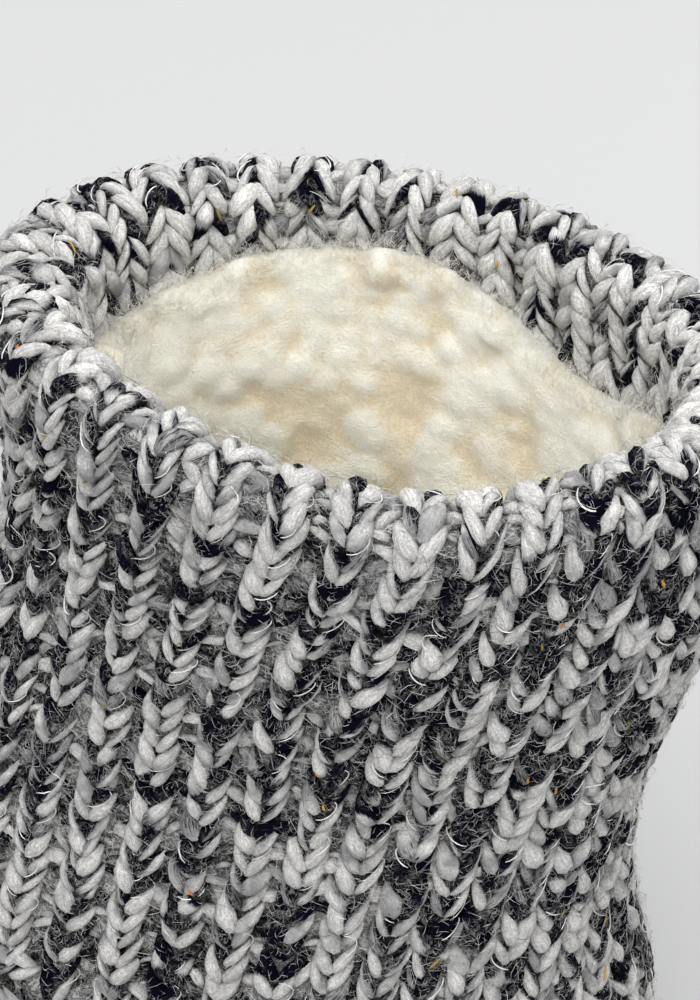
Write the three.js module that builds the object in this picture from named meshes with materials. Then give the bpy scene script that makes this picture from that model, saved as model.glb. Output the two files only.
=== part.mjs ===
// A slipper bootie for the left foot: a chunky rib-knit upper whose collar is folded inwards into a facing,
// a deep fleece lining, an insole and a flat soft sole.
// Millimetres, +X to the toe, +Y to the wearer's left (the outer side), +Z up, the floor at Z = 0.
import * as THREE from "three";

// Driving sizes of the last, over the knit
const LENGTH = 258; // heel to toe
const BALL_WIDTH = 98; // of the sole, across the ball of the foot
const COLLAR_HEIGHT = 156; // floor to the top of the collar
const COLLAR_WIDTH = 86.6; // across the collar

// Sole
const SOLE_THICKNESS = 8;
const TOE_SPRING = 7; // rise of the toe's tip
const SPRING_START = 0.72; // share of the length where the toe starts to rise
const ARCH_RISE = 2.5; // clearance under the arch
const ARCH_CENTRE = 0.44; // share of the length
const ARCH_HALF = 0.12; // half the arch's run, as a share of the length

// Knit upper
const KNIT_WALL = 5;
const BULGE = 3; // how far the knit stands out past the sole's edge
const BULGE_HEIGHT = 22; // where the foot is widest
const WALES = 36; // knit ribs round the collar
const RIB_RELIEF = 1; // half the height from groove to ridge
const FOLD_RADIUS = 5.5; // of the collar's folded top edge
const FOLD_FRONT_EXTRA = 1.9; // how much fuller the fold is at the front
const COLLAR_DIP = 4.2; // how much lower the collar hangs on the outer side
const DIP_TURN = 2.02; // where it is lowest, round the collar from its front over the outer side
const DIP_REACH = 0.5; // how far the dip spreads to either side
const FACING_END_DEPTH = 22; // how far the folded-in facing reaches below the collar's top, at heel and front
const FACING_SIDE_DEPTH = 13; // the same on both sides
const FACING_SAG = 10; // how much deeper it hangs where it sags, between the inner side and the heel
const SAG_TURN = 4.26; // where that is, round the collar from its front over the outer side
const SAG_REACH = 0.38; // how far it spreads to either side

// Fleece lining and insole
const PILE = 9; // thickness of the fleece
const TUFT_RELIEF = 1.3;
const TUFTS_ROUND = 17;
const TUFT_PITCH = 15; // up the wall
const INSOLE_THICKNESS = 5.5;

const GAP = 0.3; // between neighbouring pieces
const SEAT_Z = SOLE_THICKNESS + GAP; // underside of upper and insole
const INSOLE_Z = SEAT_Z + INSOLE_THICKNESS; // top of the insole
const INNER_LEVELS = [INSOLE_Z + 2 * GAP, 24, 34, 42, 50, 59, 69, 80, 92, 104, 118]; // inside of the knit wall

// Horizontal sections of the last. height is a share of COLLAR_HEIGHT, back and front are shares of LENGTH,
// half is the half-width of heel, ankle and shaft as a share of COLLAR_WIDTH.
const LEVELS = [
  { height: 0.051, back: 0.0665, front: 0.981, half: 0.409 }, // feather edge
  { height: 0.128, back: 0.055, front: 1.0, half: 0.443 },
  { height: 0.179, back: 0.056, front: 0.994, half: 0.449 }, // fullest part of the heel
  { height: 0.231, back: 0.0585, front: 0.977, half: 0.447 },
  { height: 0.276, back: 0.061, front: 0.953, half: 0.443 }, // top of the toe
  { height: 0.321, back: 0.0665, front: 0.907, half: 0.439 },
  { height: 0.372, back: 0.0685, front: 0.829, half: 0.434 }, // narrowest above the heel
  { height: 0.423, back: 0.0675, front: 0.733, half: 0.432 }, // over the ball
  { height: 0.481, back: 0.063, front: 0.634, half: 0.432 },
  { height: 0.545, back: 0.0555, front: 0.55, half: 0.434 }, // instep
  { height: 0.609, back: 0.0445, front: 0.498, half: 0.438 },
  { height: 0.679, back: 0.0295, front: 0.467, half: 0.445 }, // bend of the ankle
  { height: 0.769, back: 0.0125, front: 0.4565, half: 0.457 },
  { height: 0.885, back: 0.0045, front: 0.46, half: 0.478 },
  { height: 1.0, back: -0.0015, front: 0.47, half: 0.5 }, // collar
];

// Outline of the sole. at is a share of LENGTH; half-width and offset of the centre line are shares of BALL_WIDTH,
// and a positive offset lies to the outer side.
const PLAN = [
  { at: 0.0, half: 0.365, centre: 0.0 },
  { at: 0.18, half: 0.378, centre: 0.005 }, // heel seat
  { at: 0.45, half: 0.375, centre: 0.036 }, // arch
  { at: 0.63, half: 0.475, centre: 0.022 }, // little-toe joint
  { at: 0.72, half: 0.495, centre: 0.004 }, // big-toe joint
  { at: 0.85, half: 0.465, centre: -0.034 },
  { at: 1.0, half: 0.415, centre: -0.075 }, // toe
];
const HEEL_REACH = 0.17; // share of the length over which the heel end is rounded
const TOE_REACH = 0.3; // the same for the toe end of the sole
const SHAFT_REACH = 0.228; // the same for both ends of the shaft
const FOOT_ROUNDNESS = 2.3; // exponent of the rounded ends: 2 is an ellipse, more is squarer
const SHAFT_ROUNDNESS = 2;
const ROOF_SLOPE = 5; // how steeply the roof over the foot runs up inside the shaft

const smooth = (from, to, x) => THREE.MathUtils.smoothstep(x, from, to);
const rounded = (share, roundness) =>
  Math.pow(Math.max(0, 1 - Math.pow(share, roundness)), 1 / roundness);

// One column of a table, read at any place between its rows along a smooth curve.
function read(table, place, column, at) {
  const last = table.length - 1;
  const x = THREE.MathUtils.clamp(at, table[0][place], table[last][place]);
  let i = 0;
  while (i < last - 1 && x > table[i + 1][place]) i++;
  const slope = (k) => {
    const [before, after] = [Math.max(k - 1, 0), Math.min(k + 1, last)];
    const rise = table[after][column] - table[before][column];
    return rise / (table[after][place] - table[before][place]);
  };
  const run = table[i + 1][place] - table[i][place];
  const t = (x - table[i][place]) / run;
  const [t2, t3] = [t * t, t * t * t];
  return (
    (2 * t3 - 3 * t2 + 1) * table[i][column] +
    (t3 - 2 * t2 + t) * run * slope(i) +
    (3 * t2 - 2 * t3) * table[i + 1][column] +
    (t3 - t2) * run * slope(i + 1)
  );
}

const level = (column, z) => read(LEVELS, "height", column, z / COLLAR_HEIGHT);
const backAt = (z) => LENGTH * level("back", z);
const frontAt = (z) => LENGTH * level("front", z);
const planHalf = (x) => BALL_WIDTH * read(PLAN, "at", "half", x / LENGTH);
const planCentre = (x) => BALL_WIDTH * read(PLAN, "at", "centre", x / LENGTH);

// Rise of the sole and of all that stands on it towards the toe.
function toeLift(x) {
  const share = Math.max(0, (x / LENGTH - SPRING_START) / (1 - SPRING_START));
  return TOE_SPRING * share * share;
}

// Rise of the sole's underside over the arch.
function archLift(x) {
  const share = Math.abs(x / LENGTH - ARCH_CENTRE) / ARCH_HALF;
  return share < 1 ? ARCH_RISE * Math.pow(Math.cos((share * Math.PI) / 2), 2) : 0;
}

// Height of the foot's upper profile at x. Inside the shaft it runs on steeply upwards.
const TIP_Z = LEVELS[1].height * COLLAR_HEIGHT;
const BEND_Z = LEVELS[12].height * COLLAR_HEIGHT;
const BEND_X = frontAt(BEND_Z);
function roofAt(x) {
  if (x <= BEND_X) return BEND_Z + ROOF_SLOPE * (BEND_X - x);
  let [low, high] = [TIP_Z, BEND_Z];
  for (let step = 0; step < 30; step++) {
    const middle = (low + high) / 2;
    if (frontAt(middle) > x) low = middle;
    else high = middle;
  }
  return low;
}

// Share of the way from the widest part to a rounded end, 0 to 1.
const endShare = (x, end, reach) =>
  THREE.MathUtils.clamp(1 - Math.abs(x - end) / reach, 0, 1);

// Half-width of the upper at x and height z: the sole's outline below, the shaft's oval above, closed by the
// foot's roof and by the rounded heel and front.
function halfWidth(x, z) {
  const ankle = smooth(30, 95, z);
  const bulge = BULGE * (1 - Math.pow(Math.abs(z - BULGE_HEIGHT) / BULGE_HEIGHT, 2));
  const foot = planHalf(x) + Math.max(0, bulge);
  const shaft = COLLAR_WIDTH * level("half", z);
  const base = THREE.MathUtils.lerp(foot, shaft, ankle);
  const reach = LENGTH * THREE.MathUtils.lerp(TOE_REACH, SHAFT_REACH, ankle);
  const nose = endShare(x, frontAt(z), reach);
  const under = (z - BULGE_HEIGHT) / (roofAt(x) - BULGE_HEIGHT);
  const roof = THREE.MathUtils.clamp(under, 0, 1) * (1 - smooth(0.75 * BEND_Z, BEND_Z, z));
  const soft = 0.1 * (1 - nose) * (1 - roof);
  const front = (nose + roof + Math.sqrt((nose - roof) ** 2 + soft)) / 2;
  const heelReach = LENGTH * THREE.MathUtils.lerp(HEEL_REACH, SHAFT_REACH, ankle);
  const heel = endShare(x, backAt(z), heelReach);
  const roundness = THREE.MathUtils.lerp(FOOT_ROUNDNESS, SHAFT_ROUNDNESS, ankle);
  return base * rounded(Math.min(1, front), roundness) * rounded(heel, roundness);
}

// Point of the upper's smooth outer surface before the toe is lifted. turn runs round it in radians, from the
// toe over the outer side.
function surface(turn, z) {
  const [back, front] = [backAt(z), frontAt(z)];
  const x = (front + back) / 2 + ((front - back) / 2) * Math.cos(turn);
  const side = Math.sign(Math.sin(turn));
  const centre = planCentre(x) * (1 - smooth(25, 80, z));
  return new THREE.Vector3(x, centre + side * halfWidth(x, z), z);
}

// Outward normal of that surface. At the feather edge it is level, so the wall stands upright on the sole.
function normalAt(turn, z) {
  const [dt, dz] = [0.01, 0.4];
  const round = surface(turn + dt, z).sub(surface(turn - dt, z));
  const up = surface(turn, Math.min(z + dz, COLLAR_HEIGHT));
  up.sub(surface(turn, z - dz));
  const normal = round.cross(up);
  normal.z *= smooth(SOLE_THICKNESS, 3 * SOLE_THICKNESS, z);
  return normal.normalize();
}

// How far the knit hangs down with the dip of the collar.
function collarDip(turn, z) {
  const round = Math.exp(-Math.pow((turn - DIP_TURN) / DIP_REACH, 2));
  return COLLAR_DIP * round * smooth(100, 152, z);
}

// Point at a depth below the outer surface, lifted with the toe and dipped with the collar.
function wallPoint(turn, z, inset) {
  const point = surface(turn, z).addScaledVector(normalAt(turn, z), -inset);
  point.z += toeLift(point.x) - collarDip(turn, z);
  return point;
}

// count turns that stand at equal steps round the collar.
function evenTurns(count) {
  const fine = 1440;
  const run = [0];
  for (let k = 1; k <= fine; k++) {
    const a = surface(((k - 1) / fine) * 2 * Math.PI, COLLAR_HEIGHT);
    const b = surface((k / fine) * 2 * Math.PI, COLLAR_HEIGHT);
    run.push(run[k - 1] + a.distanceTo(b));
  }
  const turns = [];
  for (let i = 0, k = 0; i < count; i++) {
    const wanted = (run[fine] * i) / count;
    while (run[k + 1] < wanted) k++;
    const part = (wanted - run[k]) / (run[k + 1] - run[k]);
    turns.push(((k + part) / fine) * 2 * Math.PI);
  }
  return turns;
}

// Radius of the collar's fold, fuller towards the front.
const foldRadius = (turn) => FOLD_RADIUS + FOLD_FRONT_EXTRA * smooth(0.2, 1, Math.cos(turn));

// Lower end of the facing, which dips towards heel and front.
function facingEnd(turn) {
  const dip = Math.pow(Math.cos(turn), 2);
  const sag = FACING_SAG * Math.exp(-Math.pow((turn - SAG_TURN) / SAG_REACH, 2));
  return COLLAR_HEIGHT - THREE.MathUtils.lerp(FACING_SIDE_DEPTH, FACING_END_DEPTH, dip) - sag;
}

// Share of the ribs' full relief: it fades out towards the foot, sooner over the instep than at the heel.
function ribShare(x, z) {
  const fadeStart = 35 + 65 * smooth(0.2, 0.42, x / LENGTH);
  return smooth(fadeStart, fadeStart + 35, z);
}

// Closed geometry of rings that follow one another: ends capped across, or the last ring joined to the first.
function ringGeometry(rings, { capped }) {
  const columns = rings[0].length;
  const index = [];
  const points = rings.flat();
  const apart = (a, b) => points[a].distanceTo(points[b]);
  // Each four-cornered face is split along its shorter diagonal.
  const quad = (a, b, c, d) => {
    if (apart(a, c) <= apart(b, d)) index.push(a, b, c, a, c, d);
    else index.push(a, b, d, b, c, d);
  };
  const joints = capped ? rings.length - 1 : rings.length;
  for (let row = 0; row < joints; row++) {
    const [low, high] = [row * columns, ((row + 1) % rings.length) * columns];
    for (let i = 0; i < columns; i++) {
      const next = (i + 1) % columns;
      quad(low + i, low + next, high + next, high + i);
    }
  }
  // A cap is a row of strips from the outer side to the inner side, with a triangle at the toe and at the heel.
  const cap = (start, up) => {
    for (let i = 0; i < columns / 2; i++) {
      const corners = [i, i + 1, columns - i - 1, (columns - i) % columns];
      const [a, b, c, d] = corners.map((k) => start + k);
      const faces = i === 0 ? [[a, b, c]] : i === columns / 2 - 1 ? [[a, b, d]] : [[a, b, c], [a, c, d]];
      faces.forEach(([p, q, r]) => (up ? index.push(p, q, r) : index.push(p, r, q)));
    }
  };
  if (capped) {
    cap(0, false);
    cap((rings.length - 1) * columns, true);
  }
  return new THREE.BufferGeometry()
    .setFromPoints(points)
    .setIndex(index);
}

// Even steps from one value to another, both included.
const steps = (from, to, count) =>
  Array.from({ length: count }, (_, i) => from + ((to - from) * i) / (count - 1));

// Knit upper: up the ribbed outside, over the folded edge, down the facing and its step, and down the inside.
// Height z, inset and the rise over z are functions of the turn.
function upperGeometry() {
  const turns = evenTurns(2 * WALES);
  const foldZ = (turn) => COLLAR_HEIGHT - foldRadius(turn);
  const facing = (turn) => 2 * foldRadius(turn);
  const flat = () => 0;
  const rows = [];
  for (const z of [SEAT_Z, 15, 23, 31, 38, 43.5, 48.5, 53.5, 59, 65, 72, 80, 89, 98, 109, 121, 135])
    rows.push({ z: () => z, inset: flat, over: flat, ribbed: 1 });
  rows.push({ z: foldZ, inset: flat, over: flat, ribbed: 1 });
  for (const angle of steps(30, 150, 5).map(THREE.MathUtils.degToRad))
    rows.push({
      z: foldZ,
      inset: (turn) => foldRadius(turn) * (1 - Math.cos(angle)),
      over: (turn) => foldRadius(turn) * Math.sin(angle),
      ribbed: 0.5 + 0.5 * Math.cos(angle),
    });
  rows.push({ z: foldZ, inset: facing, over: flat, ribbed: 0 });
  rows.push({ z: (turn) => facingEnd(turn) + 2, inset: facing, over: flat, ribbed: 0 });
  rows.push({ z: facingEnd, inset: (turn) => facing(turn) - 2, over: flat, ribbed: 0 });
  rows.push({ z: facingEnd, inset: () => KNIT_WALL, over: flat, ribbed: 0 });
  for (const z of [...INNER_LEVELS.toReversed(), SEAT_Z])
    rows.push({ z: () => z, inset: () => KNIT_WALL, over: flat, ribbed: 0 });
  const rings = rows.map(({ z, inset, over, ribbed }) =>
    turns.map((turn, i) => {
      const height = z(turn);
      const relief = RIB_RELIEF * ribbed * ribShare(surface(turn, height).x, height);
      const point = wallPoint(turn, height, inset(turn) - (i % 2 === 0 ? relief : -relief));
      point.z += over(turn);
      return point;
    }),
  );
  return ringGeometry(rings, { capped: false });
}

// Fleece lining: a sock inside the knit, tufted on the side that shows, from the insole up to the facing.
function liningGeometry() {
  const turns = evenTurns(2 * WALES);
  const outer = KNIT_WALL + GAP;
  const top = (turn) => facingEnd(turn) - 2 * GAP;
  const rows = INNER_LEVELS.map((z) => ({ z: () => z, inset: outer }));
  rows.push({ z: top, inset: outer });
  rows.push({ z: top, inset: outer + 0.55 * PILE });
  rows.push({ z: (turn) => top(turn) - 5, inset: outer + PILE });
  rows.push(...INNER_LEVELS.toReversed().map((z) => ({ z: () => z, inset: outer + PILE })));
  const rings = rows.map(({ z, inset }) =>
    turns.map((turn) => {
      const height = z(turn);
      const relief = inset > outer + 0.6 * PILE ? TUFT_RELIEF : 0;
      const up = (2 * Math.PI * height) / TUFT_PITCH;
      const round = TUFTS_ROUND * turn + 1.3 * Math.sin(up / 3);
      const tuft = Math.sin(round) * Math.sin(up + Math.sin(3 * turn));
      return wallPoint(turn, height, inset + relief * tuft);
    }),
  );
  return ringGeometry(rings, { capped: false });
}

// Ring of the sole's own outline, drawn in by inset.
function planRing(turns, inset, heightAt) {
  const [back, front] = [LEVELS[0].back * LENGTH, LENGTH * (LEVELS[0].front + 0.012)];
  const middle = (front + back) / 2;
  const run = (front - back) / 2;
  const edge = (turn) => {
    const x = middle + run * Math.cos(turn);
    const toe = rounded(endShare(x, front, LENGTH * TOE_REACH), FOOT_ROUNDNESS);
    const heel = rounded(endShare(x, back, LENGTH * HEEL_REACH), FOOT_ROUNDNESS);
    return new THREE.Vector3(x, planCentre(x) + Math.sign(Math.sin(turn)) * planHalf(x) * toe * heel, 0);
  };
  return turns.map((turn) => {
    const along = edge(turn + 0.01).sub(edge(turn - 0.01)).normalize();
    const point = edge(turn).add(new THREE.Vector3(-along.y, along.x, 0).multiplyScalar(inset));
    point.z = heightAt(point.x);
    return point;
  });
}

const solidTurns = (count) => steps(0, 2 * Math.PI, count + 1).slice(0, count);

// Sole: a bevelled foot, a plain side wall with a shallow step below its top edge, and a flat top.
function outsoleGeometry() {
  const turns = solidTurns(72);
  const profile = [
    { height: 0, inset: 3.2, underside: true },
    { height: 1.6, inset: 1.0, underside: true },
    { height: 4.4, inset: 0, underside: false },
    { height: 5.4, inset: 0.9, underside: false },
    { height: 7.2, inset: 0.7, underside: false },
    { height: SOLE_THICKNESS, inset: 1.6, underside: false },
  ];
  const rings = profile.map(({ height, inset, underside }) =>
    planRing(turns, inset, (x) => height + toeLift(x) + (underside ? archLift(x) : 0)),
  );
  return ringGeometry(rings, { capped: true });
}

// Insole: lies on the sole inside the knit wall, its top edge eased.
function insoleGeometry() {
  const turns = evenTurns(2 * WALES);
  const profile = [
    { height: SEAT_Z, inset: KNIT_WALL + GAP },
    { height: INSOLE_Z - 1.5, inset: KNIT_WALL + GAP },
    { height: INSOLE_Z, inset: KNIT_WALL + 1.5 },
  ];
  const rings = profile.map(({ height, inset }) =>
    turns.map((turn) => {
      const point = wallPoint(turn, height, inset);
      point.z = height + toeLift(point.x);
      return point;
    }),
  );
  return ringGeometry(rings, { capped: true });
}

const knitWool = new THREE.MeshStandardMaterial({ color: 0x9b9a99, roughness: 1, metalness: 0 });
const fleece = new THREE.MeshStandardMaterial({ color: 0xe9e1cf, roughness: 1, metalness: 0 });
const softRubber = new THREE.MeshStandardMaterial({ color: 0x3b3b3e, roughness: 0.85, metalness: 0 });

function piece(name, geometry, material) {
  geometry.computeVertexNormals();
  const mesh = new THREE.Mesh(geometry, material);
  mesh.name = name;
  return mesh;
}

const bootie = new THREE.Group();
bootie.add(
  piece("outsole", outsoleGeometry(), softRubber),
  piece("insole", insoleGeometry(), fleece),
  piece("upper", upperGeometry(), knitWool),
  piece("lining", liningGeometry(), fleece),
);

// The origin is on the floor under the middle of the whole bootie.
const extent = new THREE.Box3().setFromObject(bootie);
const middle = extent.getCenter(new THREE.Vector3());
bootie.children.forEach((mesh) => mesh.position.set(-middle.x, -middle.y, -extent.min.z));

export default bootie;
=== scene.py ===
"""Slipper bootie: a rib-knit upper in marled wool with a turned-in collar, a deep fleece lining, an insole
and a soft flat sole. Every piece is worked out in millimetres on the last of the shoe (x towards the toe
from the heel, y towards the outer side, z up) and put into the row frame at the end."""
import math
from functools import lru_cache

import bpy
import numpy as np
from bpy.props import FloatProperty, FloatVectorProperty, IntProperty, PointerProperty
from mathutils import Matrix, Vector


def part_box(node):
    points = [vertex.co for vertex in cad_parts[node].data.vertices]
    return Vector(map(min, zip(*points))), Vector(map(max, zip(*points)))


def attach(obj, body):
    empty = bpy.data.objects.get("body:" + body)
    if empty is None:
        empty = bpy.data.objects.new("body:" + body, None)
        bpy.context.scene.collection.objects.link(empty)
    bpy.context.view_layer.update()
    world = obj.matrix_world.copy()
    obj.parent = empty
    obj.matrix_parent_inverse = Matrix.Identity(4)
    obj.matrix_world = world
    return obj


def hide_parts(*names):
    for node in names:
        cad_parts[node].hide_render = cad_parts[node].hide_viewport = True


bl_info = {
    "name": "Slipper bootie",
    "version": (1, 0, 0),
    "blender": (4, 5, 0),
    "location": "View3D > Sidebar > Bootie",
    "description": "Builds a rib-knit slipper bootie with a fleece lining over its packed solids",
    "category": "Object",
}

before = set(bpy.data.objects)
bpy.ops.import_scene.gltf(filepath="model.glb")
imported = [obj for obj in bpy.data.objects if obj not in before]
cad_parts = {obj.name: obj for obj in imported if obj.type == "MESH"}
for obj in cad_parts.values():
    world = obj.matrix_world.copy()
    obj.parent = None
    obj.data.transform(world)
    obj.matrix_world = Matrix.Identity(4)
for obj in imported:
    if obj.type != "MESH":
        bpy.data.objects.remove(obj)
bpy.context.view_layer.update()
MM = 0.001
TURN = 2 * math.pi

# ---- the last

LENGTH = 258.0
BALL_WIDTH = 98.0
COLLAR_HEIGHT = 156.0
COLLAR_WIDTH = 86.6
BULGE = 3.0
BULGE_HEIGHT = 22.0
FOLD_RADIUS = 5.5
FOLD_FRONT_EXTRA = 1.9
COLLAR_DIP = 4.2
DIP_TURN = 2.02
DIP_REACH = 0.5
FACING_END_DEPTH = 22.0
FACING_SIDE_DEPTH = 13.0
FACING_SAG = 10.0
SAG_TURN = 4.26
SAG_REACH = 0.38
SEAT_Z = 8.3
INSOLE_Z = 13.8
SOLE_TOP = 8.0
# rise of the toe, where it starts and how far it runs, the last two as shares of the length
TOE_RISE, TOE_AT, TOE_RUN = 7.0, 0.72, 0.28
# rise of the arch, its middle and how far it runs to either side
ARCH_RISE, ARCH_AT, ARCH_RUN = 2.5, 0.44, 0.12
# how far toe, heel and shaft round off, as shares of the length, and the powers of their superellipses
TOE_ROUND, HEEL_ROUND, SHAFT_ROUND = 0.3, 0.17, 0.228
FOOT_POWER, SHAFT_POWER = 2.3, 2.0
# heights between which the outline turns into the shaft's, the centre line straightens, the wall's normal
# leaves the level of the feather edge, and the collar's dip sets in
SHAFT_BLEND, CENTRE_BLEND, FEATHER_BLEND, DIP_BLEND = (30, 95), (25, 80), (8, 24), (100, 152)
# depths inside the knit's surface, and the height of the lining's lower edge
GROUND_FRONT, GROUND_BACK, LINING_BACK, LINING_FACE = 2.3, 4.8, 5.6, 14.4
LINING_FOOT = 14.4
# ends of the line on which insole and sole close
SPINE = (45, 215)
# steps of the differences that give a normal, in radians and millimetres
TURN_STEP, HEIGHT_STEP = 0.01, 0.4
# the row frame's origin across the last
MIDDLE_Y = -0.716

# height, back, front, half width: shares of collar height, length, length and collar width
LEVELS = np.array([
    (0.051, 0.0665, 0.9810, 0.409),
    (0.128, 0.0550, 1.0000, 0.443),
    (0.179, 0.0560, 0.9940, 0.449),
    (0.231, 0.0585, 0.9770, 0.447),
    (0.276, 0.0610, 0.9530, 0.443),
    (0.321, 0.0665, 0.9070, 0.439),
    (0.372, 0.0685, 0.8290, 0.434),
    (0.423, 0.0675, 0.7330, 0.432),
    (0.481, 0.0630, 0.6340, 0.432),
    (0.545, 0.0555, 0.5500, 0.434),
    (0.609, 0.0445, 0.4980, 0.438),
    (0.679, 0.0295, 0.4670, 0.445),
    (0.769, 0.0125, 0.4565, 0.457),
    (0.885, 0.0045, 0.4600, 0.478),
    (1.000, -0.0015, 0.4700, 0.500),
])
# at, half width, centre line: shares of length, ball width and ball width
PLAN = np.array([
    (0.00, 0.365, 0.000),
    (0.18, 0.378, 0.005),
    (0.45, 0.375, 0.036),
    (0.63, 0.475, 0.022),
    (0.72, 0.495, 0.004),
    (0.85, 0.465, -0.034),
    (1.00, 0.415, -0.075),
])
# arc round the collar from its front over the outer side, width of a rib column there
WALE_PITCH = np.array([(0, 10.5), (60, 11.2), (90, 10.4), (120, 9.1), (140, 7.5), (165, 7.5), (200, 8.2),
                       (260, 8.8), (329, 10.5)], float)
# height, how far the rib columns have drifted towards the toe
WALE_DRIFT = np.array([(45, -13.9), (60, -11.2), (75, -9.8), (90, -9.4), (105, -9.6), (120, -8.8),
                       (135, -4.8), (150, 0.0)], float)
# distance from the heel, height of the line where the leg's columns end on the foot's
GUSSET = np.array([(0, 8), (30, 12), (60, 28), (88, 39), (104, 44.5), (115, 54), (121, 68), (121.5, 85),
                   (122, 104)], float)
FOOT_START = 122.0
# below this height the front of the leg's columns runs on nearly straight
SHAFT_FOOT = 108.0


def smoothstep(low, high, x):
    """Cubic step from 0 at low to 1 at high."""
    t = np.clip((x - low) / (high - low), 0, 1)
    return t * t * (3 - 2 * t)


def unit(vectors):
    """Vectors brought to length 1."""
    return vectors / np.maximum(np.linalg.norm(vectors, axis=-1, keepdims=True), 1e-9)


def arc_lengths(points):
    """Way along a line of points, from its start."""
    return np.r_[0, np.cumsum(np.linalg.norm(np.diff(points, axis=0), axis=1))]


def running_sum(values, x):
    """Integral of values over x from the start, by trapezoids."""
    return np.r_[0, np.cumsum((values[1:] + values[:-1]) / 2 * np.diff(x))]


def hermite(xs, ys, x):
    """Cubic through the table's points, its slope at each point that of the chord between the neighbours."""
    x = np.clip(x, xs[0], xs[-1])
    slope = np.empty(len(xs))
    slope[1:-1] = (ys[2:] - ys[:-2]) / (xs[2:] - xs[:-2])
    slope[0] = (ys[1] - ys[0]) / (xs[1] - xs[0])
    slope[-1] = (ys[-1] - ys[-2]) / (xs[-1] - xs[-2])
    i = np.clip(np.searchsorted(xs, x, side="left") - 1, 0, len(xs) - 2)
    run = xs[i + 1] - xs[i]
    t = (x - xs[i]) / run
    t2, t3 = t * t, t * t * t
    return ((2 * t3 - 3 * t2 + 1) * ys[i] + (t3 - 2 * t2 + t) * run * slope[i]
            + (3 * t2 - 2 * t3) * ys[i + 1] + (t3 - t2) * run * slope[i + 1])


def level(column, z):
    """One column of LEVELS at height z."""
    return hermite(LEVELS[:, 0], LEVELS[:, column], z / COLLAR_HEIGHT)


def back_at(z):
    """x of the heel side at height z."""
    return LENGTH * level(1, z)


def front_at(z):
    """x of the toe side at height z."""
    return LENGTH * level(2, z)


def plan_half(x):
    """Half width of the sole at x."""
    return BALL_WIDTH * hermite(PLAN[:, 0], PLAN[:, 1], x / LENGTH)


def plan_centre(x):
    """Offset of the sole's centre line at x."""
    return BALL_WIDTH * hermite(PLAN[:, 0], PLAN[:, 2], x / LENGTH)


def centre_at(x, z):
    """Centre line of the upper at x and z: the sole's, straightened up the shaft."""
    return plan_centre(x) * (1 - smoothstep(*CENTRE_BLEND, z))


def spine_of(x):
    """Points of the sole's centre line level with x, inside the line's ends."""
    x = np.clip(x, *SPINE)
    return np.c_[x, plan_centre(x)]


def gusset_height(x):
    """Height of the gusset line at x."""
    return np.interp(x, *GUSSET.T)


def toe_lift(x):
    """Toe spring: a parabola over the toe's share of the length."""
    share = np.maximum(0, (x / LENGTH - TOE_AT) / TOE_RUN)
    return TOE_RISE * share * share


def arch_lift(x):
    """Rise of the sole's underside over the arch: a squared cosine."""
    share = np.abs(x / LENGTH - ARCH_AT) / ARCH_RUN
    return np.where(share < 1, ARCH_RISE * np.cos(np.minimum(share, 1) * math.pi / 2) ** 2, 0)


TIP_Z, BEND_Z = (float(LEVELS[row, 0] * COLLAR_HEIGHT) for row in (1, 12))
BEND_X = float(front_at(np.array(BEND_Z)))
PROFILE_Z = np.linspace(TIP_Z, BEND_Z, 600)
PROFILE_X = front_at(PROFILE_Z)


def roof_at(x):
    """Height of the foot's upper profile at x; inside the shaft it runs on steeply upwards."""
    return np.where(x <= BEND_X, BEND_Z + 5 * (BEND_X - x), np.interp(x, PROFILE_X[::-1], PROFILE_Z[::-1]))


def rounded(share, power):
    """Superellipse: 1 where share is 0, falling to 0 where it is 1."""
    return np.maximum(0, 1 - np.clip(share, 0, 1) ** power) ** (1 / power)


def nearness(x, end, reach):
    """1 at an end of the shoe, falling evenly to 0 at a reach from it, given as a share of the length."""
    return np.clip(1 - np.abs(x - end) / (LENGTH * reach), 0, 1)


def half_width(x, z):
    """Half width of the upper: the sole's outline below, the shaft's oval above, closed by the roof."""
    shaft = smoothstep(*SHAFT_BLEND, z)
    foot = plan_half(x) + np.maximum(0, BULGE * (1 - (np.abs(z - BULGE_HEIGHT) / BULGE_HEIGHT) ** 2))
    base = foot * (1 - shaft) + COLLAR_WIDTH * level(3, z) * shaft
    nose = nearness(x, front_at(z), TOE_ROUND * (1 - shaft) + SHAFT_ROUND * shaft)
    under = np.clip((z - BULGE_HEIGHT) / (roof_at(x) - BULGE_HEIGHT), 0, 1)
    under = under * (1 - smoothstep(0.75 * BEND_Z, BEND_Z, z))
    soft = 0.1 * (1 - nose) * (1 - under)
    ahead = (nose + under + np.sqrt((nose - under) ** 2 + soft)) / 2
    heel = nearness(x, back_at(z), HEEL_ROUND * (1 - shaft) + SHAFT_ROUND * shaft)
    power = FOOT_POWER * (1 - shaft) + SHAFT_POWER * shaft
    return base * rounded(np.minimum(1, ahead), power) * rounded(heel, power)


def outer_point(turn, z, front=None):
    """Point of the outer surface at a turn round the level z. The level's front can be given."""
    front, back = front_at(z) if front is None else front, back_at(z)
    x = (front + back) / 2 + (front - back) / 2 * np.cos(turn)
    y = centre_at(x, z) + np.sign(np.sin(turn)) * half_width(x, z)
    return np.stack([x, y, z + 0 * x], -1)


def outer_normal(turn, z):
    """Outward normal: cross product of the differences round and up, level at the feather edge."""
    around = outer_point(turn + TURN_STEP, z) - outer_point(turn - TURN_STEP, z)
    above = np.minimum(z + HEIGHT_STEP, COLLAR_HEIGHT)
    normal = np.cross(around, outer_point(turn, above) - outer_point(turn, z - HEIGHT_STEP))
    normal[..., 2] *= smoothstep(*FEATHER_BLEND, z)
    return unit(normal)


def level_normal(turn, z):
    """The outward normal laid level."""
    return unit(outer_normal(turn, z) * (1, 1, 0))


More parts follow.
